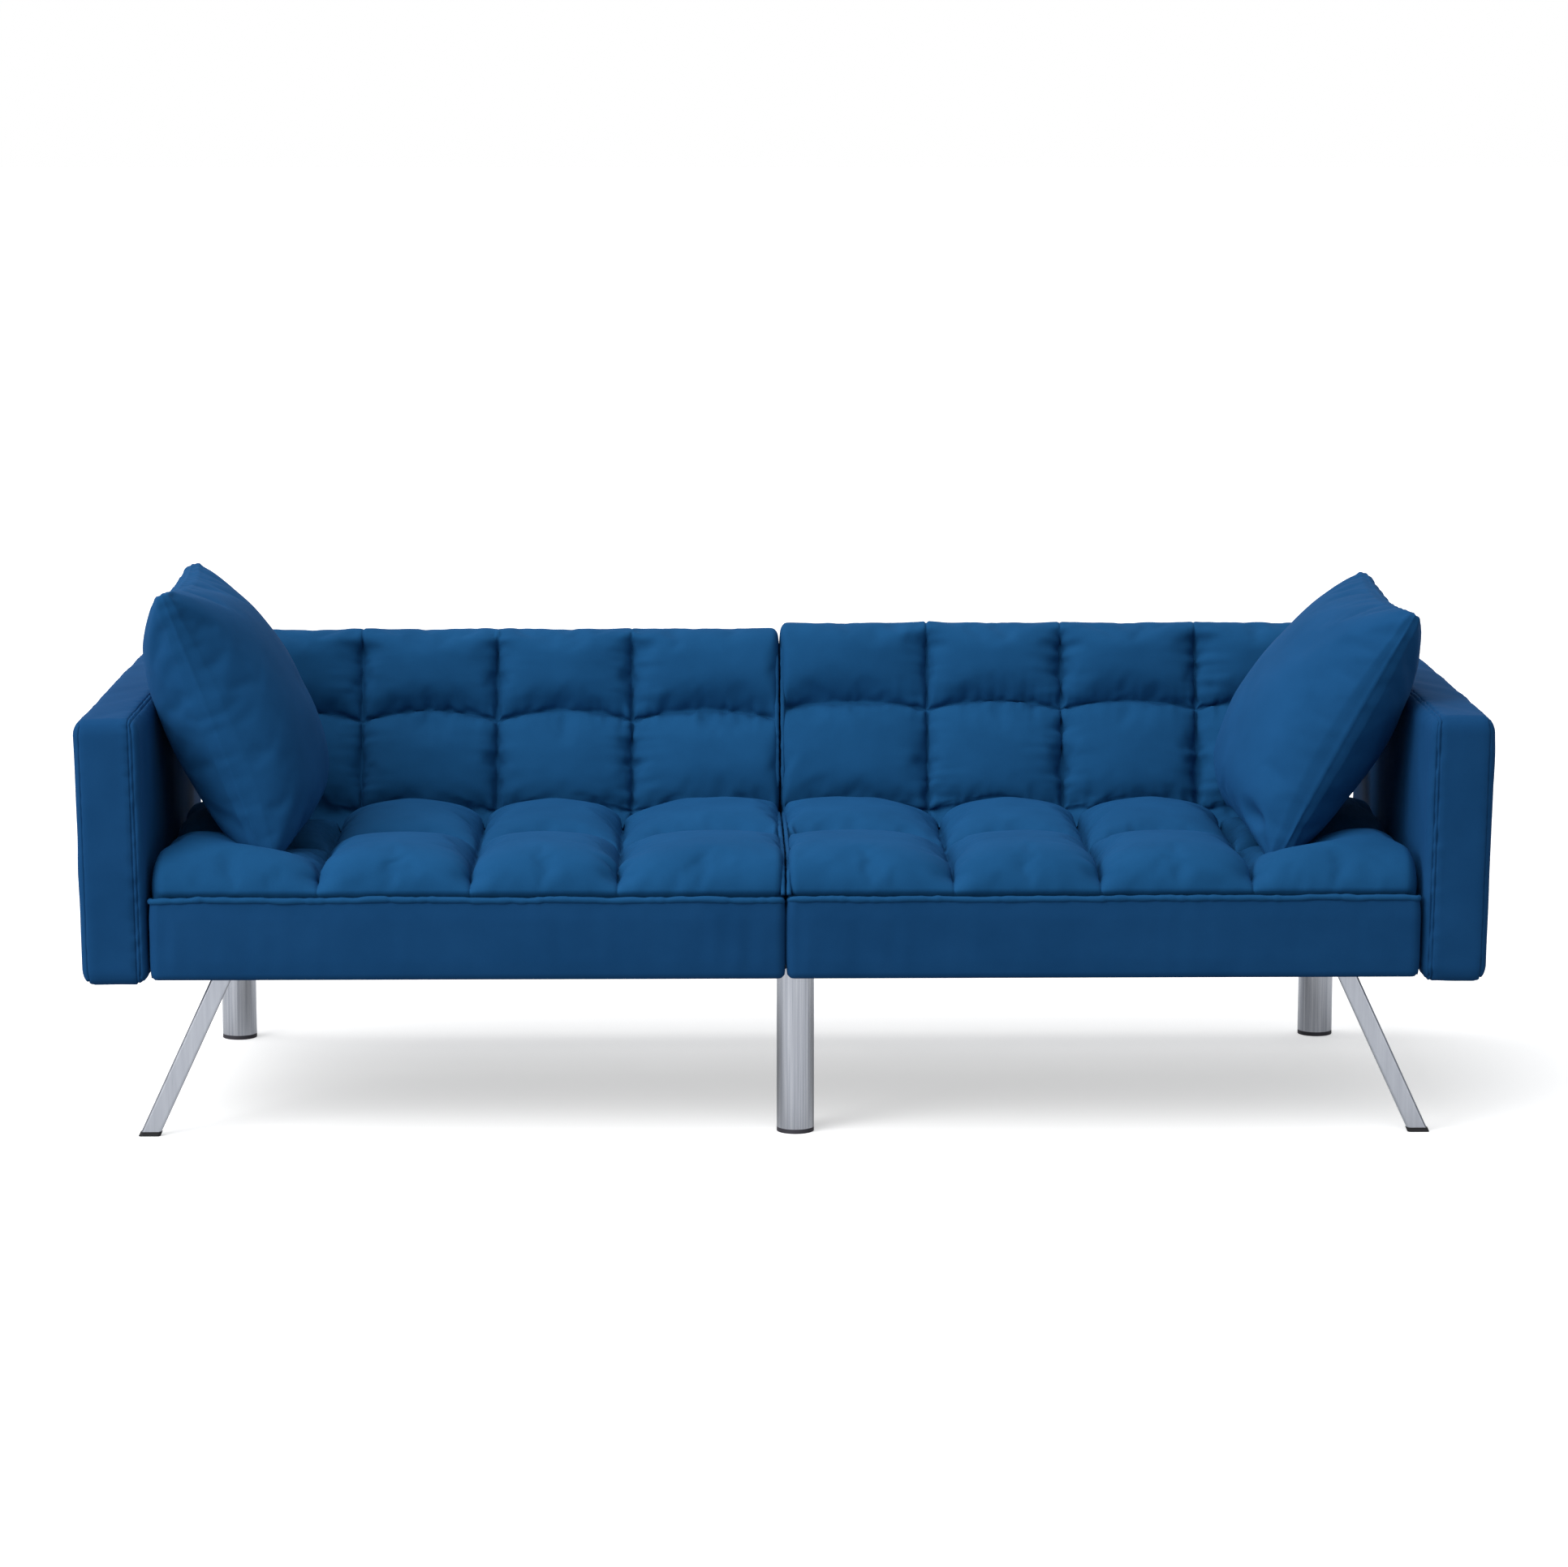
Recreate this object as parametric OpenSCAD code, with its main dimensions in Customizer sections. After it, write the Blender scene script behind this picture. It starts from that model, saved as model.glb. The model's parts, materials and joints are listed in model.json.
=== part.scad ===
// Futon sofa bed with a split folding back, padded arms and metal legs.
// Right-hand pieces are drawn and mirrored to make the left-hand ones.
// Inside the modules y is counted rearwards from the front face of the arms.

/* [Overall] */
// outside width over both arms, mm
body_w = 1900; // [1700:5:2100]
// depth from the arm fronts to the rear ends of the runners, mm
body_d = 752; // [700:1:820]
// height of the underside of the seat frames above the floor, mm
frame_z = 231; // [180:1:280]

/* [Seat] */
// height of the seat cushion top, mm
seat_top = 378; // [340:1:420]
// depth of the seat cushion, mm
seat_d = 480; // [440:1:520]
// distance from the centre line to the end of one seat half, mm
seat_half = 852; // [760:1:950]
// height of the welt on the front edge, mm
welt_z = 335; // [300:1:350]
// lower edge of the front border, mm
border_z = 227; // [180:1:260]
// height of the timber seat rails, mm
rail_h = 58; // [40:1:80]
// thickness of the timber seat rails, mm
rail_t = 22; // [16:1:30]

/* [Back] */
// lean of the upright back from vertical, degrees
lean = 19.5; // [10:0.5:30]
// thickness of the back, mm
back_t = 116; // [90:1:140]
// cushion below the pivot, measured along the back, mm
back_below = 38; // [30:1:60]
// cushion above the pivot, measured along the back, mm
back_above = 291; // [250:1:400]
// end of one back half from the centre line, mm
back_half = 827.6; // [740:0.2:930]
// pivot distance behind the arm fronts, mm
pivot_y = 548; // [500:0.5:600]
// pivot height above the floor, mm
pivot_z = 320; // [290:0.5:350]

/* [Arms] */
// arm thickness, mm
arm_t = 90; // [70:1:130]
// arm height, mm
arm_h = 358; // [300:1:420]
// arm depth, mm
arm_d = 735; // [650:1:752]
// outward lean of each arm, degrees
splay = 1; // [0:0.5:3]
// edge radius of the arms, mm
arm_r = 18; // [8:1:30]
// padding over the arm frame, mm
arm_pad = 12; // [6:1:20]

/* [Legs] */
// radius of the tube legs, mm
tube_r = 25.5; // [18:0.5:32]
// wall of the tube legs, mm
tube_wall = 2; // [1:0.5:4]
// height of the plastic caps and foot pads, mm
foot_h = 6; // [3:1:12]
// rear leg distance from the centre line, mm
rear_leg_x = 806; // [700:1:880]
// rear leg distance behind the arm fronts, mm
rear_leg_y = 720; // [650:1:725]
// centre leg distance right of the centre line, mm
centre_leg_x = 14; // [0:1:20]
// centre leg distance behind the arm fronts, mm
centre_leg_y = 87; // [50:1:150]
// front foot distance from the centre line, mm
front_foot_x = 862; // [780:1:920]
// front face of the front legs behind the arm fronts, mm
front_leg_y = 61; // [40:1:120]
// outward lean of the front legs from vertical, degrees
leg_lean = 25; // [10:1:35]
// width of the front leg bar, mm
bar_w = 25; // [18:1:40]
// thickness of the front leg bar, mm
bar_t = 11; // [6:1:16]

/* [Pillows] */
// edge length of each pillow, mm
pillow_w = 374; // [340:2:420]
// thickness of each pillow, mm
pillow_t = 170; // [120:2:200]
// pillow centre distance behind the arm fronts, mm
pillow_y = 292; // [220:1:340]
// left pillow centre distance from the centre line, mm
pillow_left_x = 762; // [700:1:800]
// left pillow centre height, mm
pillow_left_z = 549.5; // [500:0.5:600]
// left pillow lean from vertical, degrees
pillow_left_lean = 25; // [10:1:35]
// right pillow centre distance from the centre line, mm
pillow_right_x = 760; // [700:1:800]
// right pillow centre height, mm
pillow_right_z = 545.5; // [500:0.5:600]
// right pillow lean from vertical, degrees
pillow_right_lean = 28; // [10:1:35]

/* [Hidden] */
$fn = 64;
// gap between pieces that only touch
ease = 0.3;
// inner face of the inner seat rail and of the outer seat rail
rail_in = 26;
rail_out = 832;
rail_gap = 4;
rail_front = 8;
rail_rear = 470;
rail_top = frame_z + rail_h;
strap_t = 2;
cloth_t = 1.5;
welt_r = 3.5;
border_t = 4;
// steel base tubes
runner_w = 50;
runner_h = 22;
runner_wall = 2;
runner_front = 300;
runner_centre_x = 70;
beam_y = 690;
beam_w = 40;
batten_front = 290;
batten_w = 40;
// hinge plates, stacked along x from each rail face
plate_t = 4;
plate_gap = 0.2;
stack_t = 2 * plate_t + plate_gap;
eye_r = 20;
pin_r = 6;
pin_ease = 0.05;
head_t = 3.5;
head_r = 10;
slot_r = 76;
// timber frame of the back, in the back's own directions
back_frame_front = 18;
back_frame_rear = 54;
back_frame_low = -30;
back_frame_high = 278;
back_rail = 40;
back_cover_t = 2.6;
back_gap = 3;
back_welt_r = 3;
back_round = 20;
// fasteners
bolt_r = 4;
small_r = 3;
bolt_head = 7;
bolt_ease = 0.1;
joint_bolt_y = [80, 200, 360];
joint_bolt_z = 262;
arm_bolt_y = [90, 250];
arm_bolt_z = 262;
hinge_bolt_y = [400, 430];
hinge_bolt_z = 272;
arm_plate_bolt_z = [55, 112];
arm_plate_bolt_y = 36;
screw_x = [722, 780];
screw_y = [48, 84];
screw_r = 2.5;
screw_len = 18;
plate_h = 4;
leg_plate_top = frame_z - cloth_t;
stud_len = 18;
arm_x = body_w / 2 - (arm_t - arm_r) * cos(splay) - (arm_h - arm_r) * sin(splay) - arm_r;
arm_z = 224;
arm_rail = 60;
arm_post = 40;
buffer_x = [200, 620];
buffer_r = 15;
buffer_h = 5;

// which piece to draw

// ---- helpers ----
module box(x0, x1, y0, y1, z0, z1) {
    translate([x0, y0, z0]) cube([x1 - x0, y1 - y0, z1 - z0]);
}

module rod_x(x0, x1, y, z, r) {
    translate([x0, y, z]) rotate([0, 90, 0]) cylinder(h = x1 - x0, r = r);
}

module rod_z(x, y, z0, z1, r) {
    translate([x, y, z0]) cylinder(h = z1 - z0, r = r);
}

// a flat shape drawn in y and z, made solid from x0 to x1
module along_x(x0, x1) {
    translate([x0, 0, 0]) rotate([90, 0, 90]) linear_extrude(x1 - x0) children();
}

module round_rect(x0, x1, y0, y1, r) {
    translate([x0 + r, y0]) square([x1 - x0 - 2 * r, y1 - y0]);
    translate([x0, y0 + r]) square([x1 - x0, y1 - y0 - 2 * r]);
    for (x = [x0 + r, x1 - r], y = [y0 + r, y1 - r]) translate([x, y]) circle(r);
}

module from_front() {
    translate([0, -body_d / 2, 0]) children();
}

module other_side() {
    mirror([1, 0, 0]) children();
}

// the back's own directions: x sideways, y rearwards through it, z up along it
module in_back() {
    translate([0, pivot_y, pivot_z]) rotate([-lean, 0, 0]) children();
}

// the two hinges of one half, each built outwards from its rail face
module at_hinges() {
    translate([rail_in, 0, 0]) children();
    translate([rail_out, 0, 0]) mirror([1, 0, 0]) children();
}

// ---- seat halves ----
module screw_holes(r) {
    for (x = screw_x, y = screw_y) rod_z(x, y, leg_plate_top - plate_h - 1, rail_top, r);
}

module seat_rails_side() {
    difference() {
        union() {
            box(rail_gap, rail_in, rail_front, rail_rear, frame_z, rail_top);
            box(rail_out, seat_half - 1, rail_front, rail_rear, frame_z, rail_top);
            box(rail_in, rail_out, rail_front, rail_front + rail_t, frame_z, rail_top);
            box(rail_in + stack_t, rail_out - stack_t, rail_rear - rail_t, rail_rear,
                frame_z, rail_top);
            box(rail_in, rail_out, batten_front, batten_front + batten_w,
                frame_z + runner_h, rail_top);
            box(400, 400 + rail_t, rail_front, rail_rear, frame_z, rail_top);
            box(690, rail_out, rail_front, 110, frame_z, frame_z + rail_t);
        }
        runner_space(rear_leg_x);
        screw_holes(screw_r + bolt_ease);
        for (y = joint_bolt_y) rod_x(0, rail_in + 1, y, joint_bolt_z, bolt_r + bolt_ease);
        for (y = arm_bolt_y) rod_x(rail_out - 1, seat_half, y, arm_bolt_z, bolt_r + bolt_ease);
        for (x = [rail_in - 20, rail_out], y = hinge_bolt_y)
            rod_x(x, x + 20, y, hinge_bolt_z, small_r + bolt_ease);
        runner_bolt_holes(rear_leg_x);
    }
}

module runner_space(x) {
    box(x - runner_w / 2 - ease, x + runner_w / 2 + ease, runner_front, seat_d,
        frame_z - 1, frame_z + runner_h + 0.01);
}

module runner_bolt_holes(x) {
    for (side = [-1, 1])
        rod_z(x + side * 12, batten_front + 25, frame_z - 3, rail_top + 1, small_r + bolt_ease);
}

module seat_rails_left() {
    color("burlywood") from_front() other_side() seat_rails_side();
}

module seat_rails_right() {
    color("burlywood") from_front() difference() {
        seat_rails_side();
        runner_space(runner_centre_x);
        runner_bolt_holes(runner_centre_x);
        rod_z(centre_leg_x, centre_leg_y, frame_z - 1, frame_z + stud_len + 1,
              bolt_r + bolt_ease);
    }
}

module seat_webbing_side() {
    for (i = [0:5])
        box(60 + i * 125, 120 + i * 125, rail_front + 1, rail_rear - 1,
            rail_top, rail_top + strap_t);
}

module seat_webbing_left() {
    color("dimgray") from_front() other_side() seat_webbing_side();
}

module seat_webbing_right() {
    color("dimgray") from_front() seat_webbing_side();
}

module seat_profile() {
    low = rail_top + strap_t + ease;
    mid = welt_z + welt_r + ease;
    front = 2.5;
    front_r = 26;
    rear_r = 30;
    difference() {
        union() {
            translate([rail_front, low]) square([rail_rear - rail_front, mid - low + 5]);
            translate([front, mid]) square([seat_d - front, seat_top - rear_r - mid]);
            translate([front + front_r, mid])
                square([seat_d - front - front_r - rear_r, seat_top - mid]);
            translate([front + front_r, seat_top - front_r]) circle(front_r);
            translate([seat_d - rear_r, seat_top - rear_r]) circle(rear_r);
        }
        translate([rail_rear + 3, low - 1]) square([seat_d, mid - low + 1]);
    }
}

module seat_pad_side() {
    along_x(back_gap, seat_half) seat_profile();
}

module seat_pad_left() {
    color("royalblue") from_front() other_side() seat_pad_side();
}

module seat_pad_right() {
    color("royalblue") from_front() seat_pad_side();
}

module seat_border_side() {
    top = welt_z - welt_r - 0.1;
    box(back_gap, seat_half, 2, 2 + border_t, border_z, top);
    difference() {
        box(back_gap, seat_half, rail_rear + 4, rail_rear + 4 + border_t, frame_z, top);
        for (x = [rail_in - 0.5, rail_out - stack_t - 0.5])
            box(x, x + stack_t + 1, rail_rear, seat_d, frame_z - 1, top - 20);
        runner_space(rear_leg_x);
        runner_space(runner_centre_x);
    }
}

module seat_border_left() {
    color("navy") from_front() other_side() seat_border_side();
}

module seat_border_right() {
    color("navy") from_front() seat_border_side();
}

module seat_piping_side() {
    rod_x(back_gap, seat_half, 4.2, welt_z, welt_r);
}

module seat_piping_left() {
    color("mediumblue") from_front() other_side() seat_piping_side();
}

module seat_piping_right() {
    color("mediumblue") from_front() seat_piping_side();
}

module dust_cover_side() {
    difference() {
        box(rail_gap, seat_half - 1, rail_front, rail_rear, leg_plate_top, frame_z);
        screw_holes(screw_r + bolt_ease);
        runner_bolt_holes(rear_leg_x);
    }
}

module dust_cover_left() {
    color("black") from_front() other_side() dust_cover_side();
}

module dust_cover_right() {
    color("black") from_front() difference() {
        dust_cover_side();
        runner_bolt_holes(runner_centre_x);
        rod_z(centre_leg_x, centre_leg_y, leg_plate_top - 1, frame_z + 1, bolt_r + bolt_ease);
    }
}

module joining_bolts() {
    color("silver") from_front() for (y = joint_bolt_y) {
        rod_x(-rail_in - 6, rail_in + 10, y, joint_bolt_z, bolt_r);
        rod_x(-rail_in - 6, -rail_in, y, joint_bolt_z, bolt_head);
        rod_x(rail_in, rail_in + 6, y, joint_bolt_z, bolt_head);
    }
}

// ---- steel base under the back ----
module tube_y(x, y0, y1, w) {
    difference() {
        box(x - w / 2, x + w / 2, y0, y1, frame_z, frame_z + runner_h);
        box(x - w / 2 + runner_wall, x + w / 2 - runner_wall, y0 - 1, y1 + 1,
            frame_z + runner_wall, frame_z + runner_h - runner_wall);
    }
}

module runner_side() {
    difference() {
        tube_y(rear_leg_x, runner_front, body_d, runner_w);
        runner_bolt_holes(rear_leg_x);
        rod_z(rear_leg_x, rear_leg_y, frame_z - 1, frame_z + runner_wall + 1,
              bolt_r + bolt_ease);
    }
}

module runner_left() {
    color("dimgray") from_front() other_side() runner_side();
}

module runner_right() {
    color("dimgray") from_front() runner_side();
}

module runner_centre() {
    color("dimgray") from_front() difference() {
        tube_y(runner_centre_x, runner_front, beam_y, runner_w);
        runner_bolt_holes(runner_centre_x);
    }
}

module rear_beam() {
    reach = rear_leg_x - runner_w / 2;
    color("dimgray") from_front() difference() {
        box(-reach, reach, beam_y, beam_y + beam_w, frame_z, frame_z + runner_h);
        box(-reach - 1, reach + 1, beam_y + runner_wall, beam_y + beam_w - runner_wall,
            frame_z + runner_wall, frame_z + runner_h - runner_wall);
    }
}

module runner_bolts() {
    color("silver") from_front()
        for (x = [-rear_leg_x, runner_centre_x, rear_leg_x], side = [-1, 1]) {
            y = batten_front + 25;
            rod_z(x + side * 12, y, leg_plate_top - 4, rail_top - 1, small_r);
            rod_z(x + side * 12, y, leg_plate_top - 4, leg_plate_top, bolt_head - 1);
        }
}

module beam_buffers() {
    color("black") from_front() for (side = [-1, 1], x = buffer_x)
        rod_z(side * x, beam_y + beam_w / 2, frame_z + runner_h,
              frame_z + runner_h + buffer_h, buffer_r);
}

// ---- arms ----
module in_arm() {
    translate([arm_x, 0, arm_z]) rotate([0, splay, 0]) children();
}

module arm_frame_side() {
    in = arm_pad + ease;
    x1 = arm_t - in;
    y1 = arm_d - in;
    z1 = arm_h - in;
    difference() {
        in_arm() {
            box(in, x1, in, y1, 0, arm_rail);
            box(in, x1, in, y1, z1 - arm_post, z1);
            box(in, x1, in, in + arm_post, 0, z1);
            box(in, x1, y1 - arm_post, y1, 0, z1);
            box(in, x1, 380, 380 + arm_post, 0, z1);
        }
        arm_bolt_holes(bolt_r + bolt_ease);
    }
}

module arm_bolt_holes(r) {
    for (y = arm_bolt_y) rod_x(arm_x - 5, arm_x + 55, y, arm_bolt_z, r);
}

module arm_frame_left() {
    color("burlywood") from_front() other_side() arm_frame_side();
}

module arm_frame_right() {
    color("burlywood") from_front() arm_frame_side();
}

module arm_cover_side() {
    difference() {
        in_arm() difference() {
            intersection() {
                translate([0, arm_d, 0]) rotate([90, 0, 0]) linear_extrude(arm_d)
                    round_rect(0, arm_t, 0, arm_h, arm_r);
                linear_extrude(arm_h) round_rect(0, arm_t, 0, arm_d, arm_r);
            }
            box(arm_pad, arm_t - arm_pad, arm_pad, arm_d - arm_pad, -1, arm_h - arm_pad);
        }
        arm_bolt_holes(bolt_r + bolt_ease);
    }
}

module arm_cover_left() {
    color("midnightblue") from_front() other_side() arm_cover_side();
}

module arm_cover_right() {
    color("midnightblue") from_front() arm_cover_side();
}

module arm_bolts() {
    color("silver") from_front() for (side = [0, 1], y = arm_bolt_y) mirror([side, 0, 0]) {
        rod_x(rail_out - 6, arm_x + 50, y, arm_bolt_z, bolt_r);
        rod_x(rail_out - 6, rail_out, y, arm_bolt_z, bolt_head);
    }
}

// ---- legs ----
module leg_bar(w, t, z0, z1) {
    intersection() {
        translate([front_foot_x, front_leg_y + bar_t / 2, foot_h]) rotate([0, -leg_lean, 0])
            translate([0, 0, -2 * bar_w]) linear_extrude(300)
            round_rect(-w / 2, w / 2, -t / 2, t / 2, t / 3);
        box(600, 1000, 0, 200, z0, z1);
    }
}

module front_leg_side() {
    bottom = leg_plate_top - plate_h;
    leg_bar(bar_w, bar_t, foot_h, bottom + 1);
    difference() {
        box(706, 796, 38, 94, bottom, leg_plate_top);
        screw_holes(screw_r + bolt_ease);
    }
}

module front_leg_left() {
    color("lightgray") from_front() other_side() front_leg_side();
}

module front_leg_right() {
    color("lightgray") from_front() front_leg_side();
}

module front_foot_pads() {
    color("black") from_front() for (side = [0, 1]) mirror([side, 0, 0])
        leg_bar(bar_w + 2, bar_t + 2, 0, foot_h);
}

module tube_leg(x, y, top) {
    translate([x, y, 0]) {
        difference() {
            cylinder(h = top, r = tube_r);
            translate([0, 0, -1]) cylinder(h = top - plate_h + 1, r = tube_r - tube_wall);
            translate([0, 0, -1]) cylinder(h = foot_h + 1, r = tube_r + 1);
        }
        translate([0, 0, top - plate_h]) cylinder(h = plate_h + stud_len, r = bolt_r);
    }
}

module rear_leg_left() {
    color("lightgray") from_front() tube_leg(-rear_leg_x, rear_leg_y, frame_z);
}

module rear_leg_right() {
    color("lightgray") from_front() tube_leg(rear_leg_x, rear_leg_y, frame_z);
}

module centre_leg() {
    color("lightgray") from_front() tube_leg(centre_leg_x, centre_leg_y, leg_plate_top);
}

module foot_cap(x, y) {
    plug = tube_r - tube_wall - 0.05;
    rod_z(x, y, 0, foot_h, tube_r);
    rod_z(x, y, foot_h, foot_h + 14, plug);
}

module foot_caps() {
    color("black") from_front() {
        foot_cap(-rear_leg_x, rear_leg_y);
        foot_cap(rear_leg_x, rear_leg_y);
        foot_cap(centre_leg_x, centre_leg_y);
    }
}

module leg_screws() {
    low = leg_plate_top - plate_h;
    color("silver") from_front() for (side = [0, 1], x = screw_x, y = screw_y)
        mirror([side, 0, 0]) {
            rod_z(x, y, low - 1, low - 1 + screw_len, screw_r);
            rod_z(x, y, low - 2.5, low, 2 * screw_r);
        }
}

// ---- hinges ----
module hinge_plate() {
    difference() {
        along_x(0, plate_t) {
            polygon([[385, 258], [490, 258], [pivot_y + 12, pivot_z - 16],
                     [pivot_y - 12, pivot_z + 16], [470, 286], [385, 286]]);
            translate([pivot_y, pivot_z]) circle(eye_r);
        }
        rod_x(-1, plate_t + 1, pivot_y, pivot_z, pin_r + 0.02);
        for (y = hinge_bolt_y)
            rod_x(-1, plate_t + 1, y, hinge_bolt_z, small_r + bolt_ease);
    }
}

module hinge_plates() {
    color("gray") from_front() for (side = [0, 1]) mirror([side, 0, 0]) at_hinges()
        hinge_plate();
}

module hinge_pins() {
    color("silver") from_front() for (side = [0, 1]) mirror([side, 0, 0]) at_hinges() {
        rod_x(-head_t, stack_t, pivot_y, pivot_z, pin_r);
        rod_x(-head_t, 0, pivot_y, pivot_z, head_r);
    }
}

module hinge_springs() {
    color("gray") from_front() for (side = [0, 1]) mirror([side, 0, 0]) at_hinges()
        translate([-2.1, pivot_y, pivot_z]) rotate([0, 90, 0]) rotate_extrude()
        translate([head_r + 3, 0]) circle(2);
}

module hinge_bolts() {
    color("silver") from_front() for (side = [0, 1], y = hinge_bolt_y)
        mirror([side, 0, 0]) at_hinges() {
            rod_x(-16, plate_t + 3, y, hinge_bolt_z, small_r);
            rod_x(plate_t, plate_t + 3, y, hinge_bolt_z, 2 * small_r);
        }
}

module hinge_arm() {
    front = plate_t + plate_gap;
    difference() {
        along_x(front, stack_t) {
            polygon([[-17, 10], [10, -17], [50, -8], [50, 130], [22, 130], [22, 45]]);
            circle(eye_r);
        }
        rod_x(front - 1, stack_t + 1, 0, 0, pin_r + pin_ease);
        for (z = arm_plate_bolt_z)
            rod_x(front - 1, stack_t + 1, arm_plate_bolt_y, z, small_r + bolt_ease);
    }
}

module hinge_arms_side() {
    in_back() at_hinges() hinge_arm();
}

module hinge_arms_left() {
    color("gray") from_front() other_side() hinge_arms_side();
}

module hinge_arms_right() {
    color("gray") from_front() hinge_arms_side();
}

module arm_plate_bolts_side() {
    in_back() at_hinges() for (z = arm_plate_bolt_z) {
        rod_x(plate_t - 2.8, stack_t + 20, arm_plate_bolt_y, z, small_r);
        rod_x(plate_t - 2.8, plate_t + plate_gap, arm_plate_bolt_y, z, 2 * small_r);
    }
}

module arm_plate_bolts_left() {
    color("silver") from_front() other_side() arm_plate_bolts_side();
}

module arm_plate_bolts_right() {
    color("silver") from_front() arm_plate_bolts_side();
}

// ---- back halves ----
module back_frame_side() {
    x0 = rail_in + stack_t;
    x1 = rail_out - stack_t;
    y0 = back_frame_front;
    y1 = back_frame_rear;
    z0 = back_frame_low;
    z1 = back_frame_high;
    in_back() difference() {
        box(x0, x1, y0, y1, z0, z1);
        box(x0 + back_rail, 410, y0 - 1, y1 + 1, z0 + back_rail, z1 - back_rail);
        box(410 + back_rail, x1 - back_rail, y0 - 1, y1 + 1, z0 + back_rail, z1 - back_rail);
        for (x = [x0 - 1, x1 - 24], z = arm_plate_bolt_z)
            rod_x(x, x + 25, arm_plate_bolt_y, z, small_r + bolt_ease);
    }
}

module back_frame_left() {
    color("burlywood") from_front() other_side() back_frame_side();
}

module back_frame_right() {
    color("burlywood") from_front() back_frame_side();
}

module back_webbing_side() {
    in_back() for (i = [0:5])
        box(70 + i * 125, 125 + i * 125, back_frame_front - strap_t, back_frame_front,
            back_frame_low + 2, back_frame_high - 2);
}

module back_webbing_left() {
    color("dimgray") from_front() other_side() back_webbing_side();
}

module back_webbing_right() {
    color("dimgray") from_front() back_webbing_side();
}

module back_pad_side() {
    half = back_t / 2;
    rear = half - back_cover_t - ease;
    x0 = rail_in + stack_t - ease;
    x1 = rail_out - stack_t + ease;
    in_back() difference() {
        along_x(back_gap, back_half) intersection() {
            round_rect(-half, half, -back_below, back_above, back_round);
            translate([-half, -back_below - 1]) square([half + rear, 2 * back_above]);
        }
        box(x0, x1, back_frame_front - strap_t - ease, half + 1,
            back_frame_low - ease, back_frame_high + ease);
        // room for the inner hinge to turn inside the cushion
        intersection() {
            rod_x(rail_in - 5, x0 + 1, 0, 0, slot_r);
            box(0, 60, -slot_r, slot_r, -slot_r, 24);
        }
        box(rail_in - 5, x0 + 1, -24, half + 1, -24, 134);
        box(x1 - 1, back_half + 1, -24, half + 1, -slot_r, 134);
    }
}

module back_pad_left() {
    color("royalblue") from_front() other_side() back_pad_side();
}

module back_pad_right() {
    color("royalblue") from_front() back_pad_side();
}

module back_cover_side() {
    half = back_t / 2;
    in_back() difference() {
        box(back_gap + 1, back_half - 1, half - back_cover_t, half,
            -back_below + back_round, back_above - 9);
        box(rail_in - 5, rail_in + 4, 0, half + 1, -slot_r, 24);
    }
}

module back_cover_left() {
    color("navy") from_front() other_side() back_cover_side();
}

module back_cover_right() {
    color("navy") from_front() back_cover_side();
}

module back_piping_side() {
    in_back() rod_x(back_gap + 1, back_half - 1, back_t / 2 - back_welt_r,
                    back_above - back_welt_r, back_welt_r);
}

module back_piping_left() {
    color("mediumblue") from_front() other_side() back_piping_side();
}

module back_piping_right() {
    color("mediumblue") from_front() back_piping_side();
}

// ---- pillows ----
module pillow(x, z, turn) {
    half = pillow_w / 2;
    bulge = pillow_t / 2;
    big = (half * half + bulge * bulge) / (2 * bulge);
    translate([x, pillow_y, z]) rotate([0, turn, 0]) intersection() {
        rotate([90, 0, 0]) translate([0, 0, -half]) linear_extrude(pillow_w) lens(big, bulge);
        translate([0, 0, -half]) linear_extrude(pillow_w) lens(big, bulge);
    }
}

module lens(big, bulge) {
    intersection() {
        translate([big - bulge, 0]) circle(big, $fn = 128);
        translate([bulge - big, 0]) circle(big, $fn = 128);
    }
}

module pillow_left() {
    color("midnightblue") from_front()
        pillow(-pillow_left_x, pillow_left_z, -pillow_left_lean);
}

module pillow_right() {
    color("midnightblue") from_front()
        pillow(pillow_right_x, pillow_right_z, pillow_right_lean);
}

// ---- what is drawn ----
seat_rails_left();
seat_rails_right();
seat_webbing_left();
seat_webbing_right();
seat_pad_left();
seat_pad_right();
seat_border_left();
seat_border_right();
seat_piping_left();
seat_piping_right();
dust_cover_left();
dust_cover_right();
joining_bolts();
runner_left();
runner_right();
runner_centre();
rear_beam();
runner_bolts();
beam_buffers();
arm_frame_left();
arm_frame_right();
arm_cover_left();
arm_cover_right();
arm_bolts();
front_leg_left();
front_leg_right();
front_foot_pads();
rear_leg_left();
rear_leg_right();
centre_leg();
foot_caps();
leg_screws();
hinge_plates();
hinge_pins();
hinge_springs();
hinge_bolts();
back_frame_left();
back_frame_right();
back_webbing_left();
back_webbing_right();
back_pad_left();
back_pad_right();
back_cover_left();
back_cover_right();
back_piping_left();
back_piping_right();
hinge_arms_left();
hinge_arms_right();
arm_plate_bolts_left();
arm_plate_bolts_right();
pillow_left();
pillow_right();
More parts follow.
